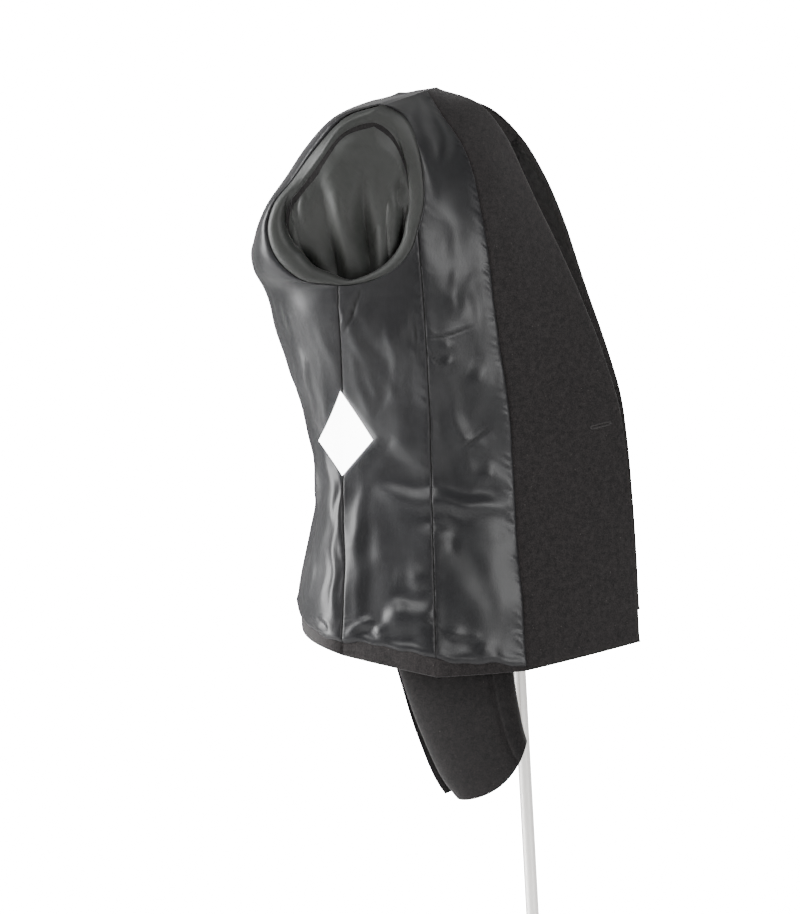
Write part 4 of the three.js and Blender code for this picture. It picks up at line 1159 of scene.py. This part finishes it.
# The lining's band along the seam, by angle from the top, to the back: its width, how far it
# swells, and how deep the cap starts behind it.
BAND = [
    (-180, 4, 0.4, 5), (-135, 11, 0.7, 7), (-95, 14, 0.7, 6), (-50, 14, 0.5, 3),
    (-20, 12, 0.2, 1.2), (15, 10, 0, 0), (60, 8, 0, 0), (84, 8, 0.2, 1.5),
    (108, 12, 1.4, 11), (138, 17, 1.6, 12), (162, 10, 0.8, 8), (180, 4, 0.4, 5),
]
CAP_SHARES = [0.04, 0.12, 0.22, 0.35, 0.5, 0.65, 0.82]
# Lines in (back, up) on the cap, half widths and heights, as on the body.
CAP_CREASES = [
    ([(126, 1294), (124, 1272), (122, 1246), (122, 1213), (121, 1186)], 8, 3, 3.6),
    ([(138, 1304), (136, 1274), (132, 1234), (127, 1192)], 8, 8, -10),
    ([(101, 1312), (106, 1268), (104, 1226), (101, 1188)], 7, 8, -12),
    ([(88, 1266), (90, 1240), (92, 1210)], 3, 3, 3),
    ([(79, 1284), (81, 1257), (84, 1228)], 2.5, 3.5, 4),
    ([(71, 1276), (72, 1256), (78, 1232)], 3.5, 3.5, -10),
    ([(69, 1305), (74, 1291), (77, 1276)], 3, 5, -3.5),
    ([(156, 1290), (150, 1255), (141, 1221)], 9, 8, 2.2),
    ([(171, 1290), (174, 1278), (171, 1262)], 1.8, 1.8, 1.3),
    ([(162, 1290), (165, 1278), (162, 1263)], 1.8, 1.8, 1.3),
    ([(154, 1292), (156, 1278), (155, 1263)], 2, 2, 1.3),
    ([(125, 1324), (105, 1329), (88, 1322), (73, 1315)], 7, 7, 2.0),
    ([(177, 1256), (164, 1241), (144, 1214)], 7, 5, -8),
]
LEFT_CAP_CREASES = shifted(CAP_CREASES, 0.9)
around_count = round(280 / fine)
back_edge = PANELS["back"].at(np.linspace(top, UNDERARM_ROW, 241), np.ones(241))
under_edge = PANELS["side"].at(np.full(81, float(UNDERARM_ROW)), np.linspace(0, 1, 81))
front_edge = PANELS["front"].at(np.linspace(UNDERARM_ROW, last, 161), np.zeros(161))
loop = np.vstack([back_edge, under_edge[1:], front_edge[1:-1], back_edge[:1]])
armhole = evenly_read(loop, np.linspace(0, 1, around_count + 1))
middle = (loop.min(0) + loop.max(0)) / 2
angles = np.arctan2(armhole[:, 1] - middle[1], armhole[:, 2] - middle[2])
angles[-1] = angles[0]


def sleeve_ring(row):
    """A ring of the sleeve, from its row of the table."""
    out, back, up, wide, deep, tilt, bow = row
    tilt = math.radians(tilt)
    across = np.sin(angles) * wide
    ring = np.empty((len(angles), 3))
    ring[:, 0] = -out + np.sign(np.cos(angles)) * np.abs(np.cos(angles)) ** SLEEVE_FLATNESS * deep
    drop = bow * np.cos(angles) ** 2
    ring[:, 1] = back + across * math.cos(tilt) - drop * math.sin(tilt)
    ring[:, 2] = up - across * math.sin(tilt) - drop * math.cos(tilt)
    corner = np.clip(np.sin(angles), 0, None) ** CUFF_CORNER_TIGHT
    ring[:, 2] += bow * CUFF_CORNER * corner
    return ring


def rounded_ring(ring):
    """A ring with its corners rounded, so that no crease runs down from the shoulder point."""
    reach = around_count // 24
    weights = np.exp(-((np.arange(-reach, reach + 1) / (0.5 * reach)) ** 2))
    weights /= weights.sum()
    wrapped = np.vstack([ring[-1 - reach : -1], ring, ring[1 : reach + 1]])
    return np.stack([np.convolve(wrapped[:, k], weights, "valid") for k in range(3)], 1)


def from_band(column):
    """A column of the band's table, read at every angle round the armhole."""
    return np.interp(np.degrees(angles), [row[0] for row in BAND], [row[column] for row in BAND])


FOLDED_FROM = 6  # the band is folded in fully where the cap starts this deep
# The band's rings: share of its width where it is flat and where it is folded in, rise, depth.
BAND_RINGS = [
    (0, 0, 0, 0.04), (0.2, 0.2, 0.9, 0), (0.5, 0.55, 1, 0), (0.75, 0.88, 0.2, 0.12),
    (0.85, 1.03, 0, 0.42), (0.95, 1.02, 0, 0.75), (1.05, 0.97, 0, 1),
]


def sleeve_rings():
    """The sleeve's key rings, from the armhole seam down to the cuff."""
    band, swell, sunk = (from_band(column)[:, None] for column in (1, 2, 3))
    folded = np.clip(sunk / FOLDED_FROM, 0, 1)
    centre = middle - armhole
    out = outwards(armhole)
    inwards = centre - (centre * out).sum(1, keepdims=True) * out
    inwards /= np.linalg.norm(inwards, axis=1, keepdims=True)
    rings = []
    for flat, fold, rise, depth in BAND_RINGS:
        share = flat + (fold - flat) * folded
        rings.append(armhole + inwards * band * share + out * (swell * rise - sunk * depth))
    mouth = rounded_ring(rings[-1])
    upper = np.clip(np.cos(angles), 0, None) ** 2
    first = sleeve_ring(SLEEVE[0])
    first[:, 0] -= CAP_FULLNESS * upper
    for share in CAP_SHARES:
        ring = mouth + (first - mouth) * share
        ring[:, 0] -= CAP_BULGE * upper * math.sin(math.pi * share)
        rings.append(ring)
    return [*rings, first, *[sleeve_ring(row) for row in SLEEVE[1:]]]


CAP_ENDS = 1200  # below this height the tube's rings are farther apart
COARSER = 2.5


def down_the_tube(rings, step):
    """Rings joined by smooth curves, about a step apart."""
    keys = np.array(rings)
    gaps, _, turns = slopes_of(keys, 0.2)
    result = [keys[:1]]
    for i in range(len(keys) - 1):
        size = gaps[i].max()
        spacing = step if keys[i, :, 2].max() > CAP_ENDS else COARSER * step
        count = max(2, round(size / spacing))
        leaving, arriving = turns[i] * gaps[i], turns[i + 1] * gaps[i]
        for n in range(1, count + 1):
            result.append(smooth_step(keys[i], leaving, keys[i + 1], arriving, n / count)[None])
    return np.concatenate(result)


def into_tube(grid):
    """Unit directions into the sleeve."""
    down = np.gradient(grid, axis=0)
    closed = np.concatenate([grid[:, -2:-1], grid, grid[:, 1:2]], axis=1)
    around = closed[:, 2:] - closed[:, :-2]
    inside = np.cross(around, down)
    return inside / np.maximum(np.linalg.norm(inside, axis=-1, keepdims=True), 1e-9)


CAP_UPPER = (2.2, 0.9)  # how far down the ring's sides the folds reach
CAP_FOLDS_GROW = 20  # over this length from the mouth on
CAP_FADES = (1150, 40)  # up from here, and over this height


def folded_cap(grid, left, starts):
    """Deep folds in the cap: the wall towards the body moves out or in along the arm's axis."""
    flat = grid.reshape(-1, 3)[:, 1:]
    relief = crease_relief(flat, LEFT_CAP_CREASES if left else CAP_CREASES)
    relief = relief.reshape(grid.shape[:2])
    upper = np.clip(np.cos(angles) * CAP_UPPER[0] + CAP_UPPER[1], 0, 1)[None, :]
    inside = eased(lengths_up(grid), starts, CAP_FOLDS_GROW)
    fade = ramped(grid[..., 2], *CAP_FADES)
    result = grid.copy()
    result[..., 0] -= relief * upper * inside * fade
    return result


LEFT_SLEEVE = (1190, 400, 24)  # starts at, length, swing back


def to_left_sleeve(points):
    """The left sleeve: mirrored, and swung back a little at the cuff."""
    start, length, swing = LEFT_SLEEVE
    result = points * np.array([-1, 1, 1])
    result[..., 1] += swing * np.clip((start - points[..., 2]) / length, 0, None)
    return result


sleeve_satin = satin("sleeve_satin", (0.022, 0.024, 0.022), (0.037, 0.039, 0.036), 0.5)
LINING_DEPTH = 3.2
LINING_SINKS = (3, 22)  # it sinks to that depth this far past the mouth, and over this length
LINING_STOPS = 2  # rings of the sleeve left bare above the cuff edge
MOUTH_PUCKER = 9  # the seam's puckers fade over this length
MOUTH_SEAM_SHADE = (0.35, 0.8)  # how dark the painted shade line at the seam is, and its half width
WOOL_STARTS = 7  # the wool leaves the seam below the mouth
WOOL_DEPTH = 0.5
SLEEVE_THICK = 1.2
SLEEVE_SEAM_DIP = (1.2, 1.6)  # depth and half width
SLEEVE_SEAMS = (-2.5, 1.5)  # angles round the tube of the front and the back seam
# The sleeves' wool is the coat's wool painted darker: painted shade on sleeves, cuffs and vents.
SLEEVE_SHADED_DARK, SLEEVE_SHADED_LIGHT = (0.004, 0.0035, 0.0037), (0.017, 0.0145, 0.0145)
shaded_sleeve_wool = woollen("shaded_sleeve_wool", SLEEVE_SHADED_DARK, SLEEVE_SHADED_LIGHT, (0.04, 0.036, 0.034))
mouth_walk = from_band(1) + from_band(3)
front, back = (int(np.abs(angles[:-1] - angle).argmin()) for angle in SLEEVE_SEAMS)
rings = sleeve_rings()
lining_rings = down_the_tube(rings[:-LINING_STOPS], 1.7 * fine)
walked = lengths_up(lining_rings)
into = ramped(walked - mouth_walk, *LINING_SINKS)
# painted shade along the armhole seam, where its groove lies in shade
seam = MOUTH_SEAM_SHADE[0] * bell(walked, MOUTH_SEAM_SHADE[1])
wool_rings = down_the_tube(rings[WOOL_STARTS:], 3.0 * fine)
for side, left in SIDES:
    lining = folded_cap(lining_rings, left, mouth_walk)
    lining = lining + into_tube(lining) * (LINING_DEPTH * into)[..., None]
    pucker = seam_relief(walked, lengths_across(lining), 60 + left, 0.35, 0.3, reach=5)
    pucker = pucker * bell(walked, MOUTH_PUCKER)
    lining = lining + outwards(armhole)[None] * pucker[..., None]
    made = to_left_sleeve(lining) if left else lining[:, ::-1]
    name, marks = f"sleeve_lining_{side}", {"seam": seam}
    piece = cloth(f"{name}_satin", made, LINING_THICK, sleeve_satin, marks, closed=True)
    sewn(piece, name, lining_rings)
    wool_grid = folded_cap(wool_rings, left, 0)
    wool_grid = wool_grid + into_tube(wool_grid) * WOOL_DEPTH
    for part, columns in (
        ("under", np.arange(back, front + 1)),
        ("top", np.arange(front, back + around_count + 1) % around_count),
    ):
        strip = wool_grid[:, columns]
        gap = lengths_across(strip)
        for distance in (gap, gap[:, -1:] - gap):
            dip = SLEEVE_SEAM_DIP[0] * bell(distance, SLEEVE_SEAM_DIP[1])
            strip = strip + into_tube(wool_grid)[:, columns] * dip[..., None]
        made = to_left_sleeve(strip) if left else strip[:, ::-1]
        name = f"sleeve_{part}_{side}"
        piece = cloth(f"{name}_wool", made, SLEEVE_THICK, shaded_sleeve_wool)
        sewn(piece, name, wool_rings[:, columns])

# ---- Sleeve vents ------------------------------------------------------------------------------
# At the back seam each sleeve ends in a vent: the under layer stands out behind the top one.
# It is a narrow doubled strip of the sleeve's wool, tucked under the seam and left open below.

VENT_STARTS, VENT_ENDS = 875, 757
VENT_OUT, VENT_TUCK = 7.0, 9.0  # how far it stands out, and how far it is tucked under
VENT_THICK = 1.6
VENT_SLOPE = (0.93, 0.36)  # it stands out backwards and downwards, in these shares
VENT_OPENS = (0.15, 0.85)  # share of its width at the top, and what the lower end adds
VENT_INSIDE, VENT_CUPPED = 2.6, 0.12  # off the seam's line, and how much less at its edge
VENT_WAVE = (0.4, 0.09)  # height, and radians a millimetre
seam_line = wool_rings[:, back]
levels = np.linspace(VENT_STARTS, VENT_ENDS, round(60 / fine))
order = np.argsort(seam_line[:, 2])
line = [np.interp(levels, seam_line[order, 2], seam_line[order, k]) for k in range(2)]
line = np.stack([*line, levels], 1)
across = np.linspace(-VENT_TUCK, VENT_OUT, 12)[None, :]
opening = VENT_OPENS[0] + VENT_OPENS[1] * np.linspace(0, 1, len(levels))
reach = across * np.where(across > 0, opening[:, None], 1)
base = np.repeat(line[:, None, :], across.shape[1], axis=1)
base[..., 1] += reach * VENT_SLOPE[0]
base[..., 2] -= reach * VENT_SLOPE[1]
base[..., 0] += VENT_INSIDE - VENT_CUPPED * across
base[..., 0] += VENT_WAVE[0] * np.sin(levels * VENT_WAVE[1])[:, None]
base = base[::-1]
for side, left in SIDES:
    made = to_left_sleeve(base) if left else base[:, ::-1]
    piece = cloth(f"sleeve_vent_{side}_wool", made, VENT_THICK, shaded_sleeve_wool)
    sewn(piece, None, made)

# ---- Care label --------------------------------------------------------------------------------
# A plain white woven tape, folded double and caught in the right side seam, with one free corner.
# It stands a little off the lining, and its front and back corners curl outwards.

LABEL = [(134, 1117), (108, 1073), (138, 1042), (153, 1074)]  # top, front, bottom, back corner
LABEL_STEPS = 33
LABEL_THICK = 0.5
LABEL_LIFT = 2.6
LABEL_CURL, LABEL_CURL_FRONT = 7.0, 2.5  # how far its back and its front corner stand off
LABEL_WAVE = (0.35, 5, 3)  # height, and how often along and up it
LABEL_ROWS, LABEL_FROM = 6, 0.45  # it lies on these rows, and on this share of the back on
NET_COLUMNS = 60
NEAREST, NEAR = 12, 4  # points of the lining that carry a point of the label, and how close
TAPE_DARK, TAPE_LIGHT = (0.9, 0.9, 0.89), (0.97, 0.97, 0.96)
TAPE_PAINTED_GLOW = 10.0  # painted light: the white tape glows, so that it reads brightly lit
steps = np.linspace(0, 1, LABEL_STEPS)
u, v = np.meshgrid(steps, steps)
top_corner, front_corner, low_corner, back_corner = np.array(LABEL, float)
spots = (
    low_corner * ((1 - u) * (1 - v))[..., None]
    + front_corner * (u * (1 - v))[..., None]
    + top_corner * (u * v)[..., None]
    + back_corner * ((1 - u) * v)[..., None]
)
places = row_places(PANELS["side"], 4)[:, None]
rows = places[places[:, 0] <= LABEL_ROWS]
net = []
for name, first in (("back", LABEL_FROM), ("side", 0)):
    shares = np.linspace(first, 1, NET_COLUMNS)[None, :]
    net.append(PANELS[name].at(rows, shares).reshape(-1, 3))
net = np.vstack(net)
base = np.empty(u.shape + (3,))
for place in np.ndindex(u.shape):
    gap = np.linalg.norm(net[:, 1:] - spots[place], axis=1)
    nearest = np.argsort(gap)[:NEAREST]
    weight = bell(gap[nearest], NEAR) + 1e-9
    base[place] = (net[nearest, 0] @ weight / weight.sum(), *spots[place])
lift = LABEL_LIFT + LABEL_CURL * ((1 - u) * v) ** 1.5 + LABEL_CURL_FRONT * (u * (1 - v)) ** 2
lift += LABEL_WAVE[0] * np.sin(u * LABEL_WAVE[1] + v * LABEL_WAVE[2])
made = base + outwards(base) * lift[..., None]
tape, nodes, shader = new_material("label_tape")
weave = add_weave(nodes, 1700, 1700)
set_inputs(shader, {"Base Color": add_tones(nodes, weave["Height"], TAPE_DARK, TAPE_LIGHT)})
# painted light: the tape glows
set_inputs(shader, {"Roughness": 0.6, "Emission Color": WHITE, "Emission Strength": TAPE_PAINTED_GLOW})
add_relief(nodes, shader, weave["Height"], 0.3, 0.0003)
piece = cloth("care_label_tape", made[:, ::-1], LABEL_THICK, tape)
sewn(piece, "care_label", base)

# ---- Buttonhole --------------------------------------------------------------------------------
# A buttonhole worked by hand in the right front: close stitches in dark silk round a thin slit.
# Its stitches stand a little above the facing, and the slit between them is closed.

HOLE_PLACES = (3.66, 3.61)  # row of the front edge at its outer and its inner end
HOLE_GAPS = (11.0, 32.0)  # distance in from the front edge
HOLE_HALF = 2.6
STITCH = 0.9
STITCH_SHIFT = 0.8  # radians: the two sides' stitches are set off against each other
SILK_PLACE, SILK_WIDTH, SILK_HEIGHT = 1.0, 0.55, 0.5  # from the slit, half width, height
SLIT_WIDTH, SLIT_DEPTH = 0.3, 0.55
SLIT_SHADE = 0.45
HOLE_EDGE = (1.7, 0.8, 0.9)  # beyond this distance and over this one, it sinks this far
HOLE_LIFT = 0.12
HOLE_THICK = 0.3
SILK_SHADED, SILK_LIGHT = (0.003, 0.003, 0.003), (0.03, 0.027, 0.027)
first_place, last_place = HOLE_PLACES
first_gap, last_gap = HOLE_GAPS
along = np.linspace(0, 1, 150)[None, :]
across = np.linspace(-1, 1, 29)[:, None]
gaps = first_gap + (last_gap - first_gap) * along
next_rows = whole_front.from_edge(np.array([3.0, 4.0]), np.array([20.0, 20.0]))
row_height = np.linalg.norm(np.diff(next_rows, axis=0))
places = first_place + (last_place - first_place) * along + across * HOLE_HALF / row_height
base = whole_front.from_edge(places, gaps)
run = gaps - first_gap
to_end = np.minimum(run, last_gap - gaps)
off = np.hypot(across * HOLE_HALF, np.clip(HOLE_HALF * 0.8 - to_end, 0, None))
thread = 0.5 + 0.5 * np.cos(run * 2 * math.pi / STITCH + np.sign(across) * STITCH_SHIFT)
height = SILK_HEIGHT * bell(off - SILK_PLACE, SILK_WIDTH) * (0.55 + 0.45 * thread)
height = height - SLIT_DEPTH * bell(off, SLIT_WIDTH)
height = height - HOLE_EDGE[2] * ramped(off, HOLE_EDGE[0], HOLE_EDGE[1]) ** 1.5
made = base + outwards(base) * (height + HOLE_LIFT)[..., None]
silk, nodes, shader = new_material("buttonhole_silk")
# painted shade: the silk turns darker towards the closed slit between the stitches
slit = add_node(nodes, "Attribute", attribute_name="slit").outputs["Fac"]
set_inputs(shader, {"Base Color": add_tones(nodes, slit, SILK_LIGHT, SILK_SHADED)})
set_inputs(shader, {"Roughness": 0.55})
marks = {"slit": bell(off, SLIT_SHADE)[:, ::-1]}
piece = cloth("buttonhole_R_stitches", made[:, ::-1], HOLE_THICK, silk, marks)
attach(piece, "root")

# ---- Button ------------------------------------------------------------------------------------
# One four-hole button of dark horn with a raised rim, sewn to the left front; it now faces in.
# It is turned with a dished face, drilled, and softly rounded at its edges.

BUTTON_PLACE, BUTTON_GAP = 3.7, 17.0  # row of the front edge, distance in from it
BUTTON_RADIUS, BUTTON_THICK = 10.0, 4
RIM_WIDTH, DISH_SLOPE, DISH_DEPTH = 2.4, 1.0, 1.1
THREAD_HOLE, THREAD_HOLE_OFF = 1.0, 1.7  # radius, and how far off the middle each way
BUTTON_SOFT = 0.5
HORN_DARK, HORN_LIGHT = (0.006, 0.005, 0.005), (0.03, 0.024, 0.02)


def on_front(place, gap):
    """A point of the right front."""
    return whole_front.from_edge(np.array([place]), np.array([gap]))[0]


low, high = (Vector(corner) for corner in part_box("button_L"))
centre = (low + high) / 2
seat = on_front(BUTTON_PLACE, BUTTON_GAP)
above_seat = on_front(BUTTON_PLACE + 0.2, BUTTON_GAP) - seat
beside = on_front(BUTTON_PLACE, BUTTON_GAP + 10) - seat
normal = np.cross(above_seat, beside)
normal /= np.linalg.norm(normal)
inwards = Vector((normal[0], -normal[1], -normal[2]))
nothing_selected()
bpy.ops.mesh.primitive_cylinder_add(
    vertices=64, radius=BUTTON_RADIUS * MM, depth=BUTTON_THICK * MM
)
button = bpy.context.object
button.name = "button_L_horn"
bpy.ops.object.mode_set(mode="EDIT")
bpy.ops.mesh.select_mode(type="FACE")
bpy.ops.mesh.select_all(action="DESELECT")
bpy.ops.object.mode_set(mode="OBJECT")
for face in button.data.polygons:
    face.select = face.normal.z > 0.9
bpy.ops.object.mode_set(mode="EDIT")
bpy.ops.mesh.inset(thickness=RIM_WIDTH * MM)
bpy.ops.mesh.inset(thickness=DISH_SLOPE * MM, depth=-DISH_DEPTH * MM)
bpy.ops.object.mode_set(mode="OBJECT")
for out, up in ((1, 1), (-1, 1), (1, -1), (-1, -1)):
    spot = Vector((out, up, 0)) * THREAD_HOLE_OFF * MM
    nothing_selected()
    bpy.ops.mesh.primitive_cylinder_add(
        vertices=20, radius=THREAD_HOLE * MM, depth=2 * BUTTON_THICK * MM, location=spot
    )
    drill = bpy.context.object
    cut = button.modifiers.new("hole", "BOOLEAN")
    cut.object = drill
    cut.solver = "EXACT"
    bpy.context.view_layer.objects.active = button
    bpy.ops.object.modifier_apply(modifier="hole")
    bpy.data.objects.remove(drill)
soft = button.modifiers.new("soft", "BEVEL")
soft.width = BUTTON_SOFT * MM
soft.segments = 3
soft.limit_method = "ANGLE"
bpy.context.view_layer.objects.active = button
bpy.ops.object.modifier_apply(modifier="soft")
turn = inwards.to_track_quat("Z", "Y").to_matrix().to_4x4()
button.data.transform(Matrix.Translation(centre) @ turn)
nothing_selected()
button.select_set(True)
bpy.context.view_layer.objects.active = button
bpy.ops.object.shade_smooth_by_angle(angle=math.radians(40))
horn, nodes, shader = new_material("horn")
place = add_node(nodes, "TexCoord").outputs["Object"]
streaks = {"Vector": place, "Scale": 90, "Distortion": 6, "Detail": 3}
grain = add_node(nodes, "TexWave", streaks).outputs[0]
set_inputs(shader, {"Base Color": add_tones(nodes, grain, HORN_DARK, HORN_LIGHT)})
set_inputs(shader, {"Roughness": 0.32})
button.data.materials.append(horn)
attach(button, "root")
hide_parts("button_L")

# ---- Dress form --------------------------------------------------------------------------------
# A limbless form of cast foam under a tight white knit cover, with caps at neck and arms.
# It is the node's own shape made rounder, and the coat hangs from its shoulders.

FORM_ROUNDS = 2
KNIT_THREAD, KNIT_GAP = (0.86, 0.85, 0.83), (0.78, 0.77, 0.75)
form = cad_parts["form_torso"]
smooth_form = form.copy()
smooth_form.data = form.data.copy()
for key in [key for key in smooth_form.keys() if key.startswith("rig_")]:
    del smooth_form[key]
smooth_form.parent = None
smooth_form.name = "form_torso_cover"
bpy.context.scene.collection.objects.link(smooth_form)
nothing_selected()
smooth_form.select_set(True)
bpy.context.view_layer.objects.active = smooth_form
bpy.ops.object.mode_set(mode="EDIT")
bpy.ops.mesh.select_all(action="SELECT")
bpy.ops.mesh.remove_doubles(threshold=0.00002)
bpy.ops.mesh.tris_convert_to_quads(face_threshold=0.7, shape_threshold=0.7)
bpy.ops.object.mode_set(mode="OBJECT")
rounder = smooth_form.modifiers.new("rounder", "SUBSURF")
rounder.levels = FORM_ROUNDS
rounder.render_levels = FORM_ROUNDS
bpy.ops.object.modifier_apply(modifier="rounder")
bpy.ops.object.shade_smooth_by_angle(angle=math.radians(60))
knit, nodes, shader = new_material("form_knit")
place = add_node(nodes, "TexCoord").outputs["Object"]
stitch = add_node(nodes, "TexVoronoi", {"Vector": place, "Scale": 900}).outputs["Distance"]
set_inputs(shader, {"Base Color": add_tones(nodes, stitch, KNIT_THREAD, KNIT_GAP)})
set_inputs(shader, {"Roughness": 0.85, "Sheen Weight": 0.2})
add_relief(nodes, shader, stitch, 0.35, 0.0004)
smooth_form.data.materials.clear()
smooth_form.data.materials.append(knit)
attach(smooth_form, "root")
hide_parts("form_torso")

# ---- Stand -------------------------------------------------------------------------------------
# A plated steel tube in a round base plate, with a flange screwed under the form.
# Each part is one outline turned round the middle of the pole.

STEEL_DARK, STEEL_LIGHT = (0.94, 0.92, 0.88), (0.97, 0.96, 0.94)
STEEL_PAINTED_REFLECTION = {"Emission Color": (1, 0.97, 0.92, 1), "Emission Strength": 0.7}  # painted reflection: the steel glows as if it mirrored the white all round it
TURNED_STEPS = 96
plate, nodes, shader = new_material("plated_steel")
place = add_node(nodes, "TexCoord").outputs["Object"]
haze = add_node(nodes, "TexNoise", {"Vector": place, "Scale": 14, "Detail": 1}).outputs[0]
rough = add_node(nodes, "MapRange", {"Value": haze, "To Min": 0.16, "To Max": 0.2}).outputs[0]
set_inputs(shader, {"Base Color": add_tones(nodes, haze, STEEL_DARK, STEEL_LIGHT)})
# painted reflection: emission stands in for the white studio mirrored in the steel
set_inputs(shader, {"Roughness": rough, "Metallic": 1.0, **STEEL_PAINTED_REFLECTION})

# Each node's outline, turned round the pole: radius, height.
TURNED = {
    "pole_flange": [
        (6.3, 843.7), (11.2, 843.7), (12, 844.5), (12, 862), (13.5, 864.3), (31.2, 864.7),
        (32, 865.5), (32, 868.9), (31.2, 869.7), (6.3, 869.7), (6.3, 843.7),
    ],
    "pole": [(0, 8.3), (5.6, 8.3), (6, 8.7), (6, 869.3), (5.6, 869.7), (0, 869.7)],
    "base": [
        (0, 0), (167, 0), (169.2, 0.8), (170, 2.4), (170, 5.6), (169.2, 7.2), (167, 8), (120, 8.2),
        (60, 8.8), (30, 10), (26, 12), (24.6, 31), (23.6, 33.2), (21.5, 34), (6.3, 34), (6.3, 8.3),
        (0, 8.3),
    ],
}
for node, outline in TURNED.items():
    nothing_selected()
    bpy.ops.mesh.primitive_circle_add(vertices=len(outline), radius=1)
    turned = bpy.context.object
    turned.name = f"{node}_turned"
    bpy.ops.object.mode_set(mode="EDIT")
    bpy.ops.mesh.select_mode(type="VERT")
    bpy.ops.mesh.select_all(action="SELECT")
    bpy.ops.mesh.edge_face_add()
    bpy.ops.mesh.delete(type="ONLY_FACE")
    bpy.ops.object.mode_set(mode="OBJECT")
    for vertex, (radius, height) in zip(turned.data.vertices, outline):
        vertex.co = Vector((radius, 0, height)) * MM
    bpy.ops.object.mode_set(mode="EDIT")
    bpy.ops.mesh.select_all(action="SELECT")
    bpy.ops.mesh.spin(steps=TURNED_STEPS, angle=2 * math.pi, center=(0, 0, 0), axis=(0, 0, 1))
    bpy.ops.mesh.select_all(action="SELECT")
    bpy.ops.mesh.remove_doubles(threshold=0.00001)
    bpy.ops.mesh.select_all(action="SELECT")
    bpy.ops.mesh.normals_make_consistent(inside=False)
    bpy.ops.object.mode_set(mode="OBJECT")
    bpy.ops.object.shade_smooth_by_angle(angle=math.radians(35))
    turned.data.materials.append(plate)
    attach(turned, "root")
    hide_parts(node)
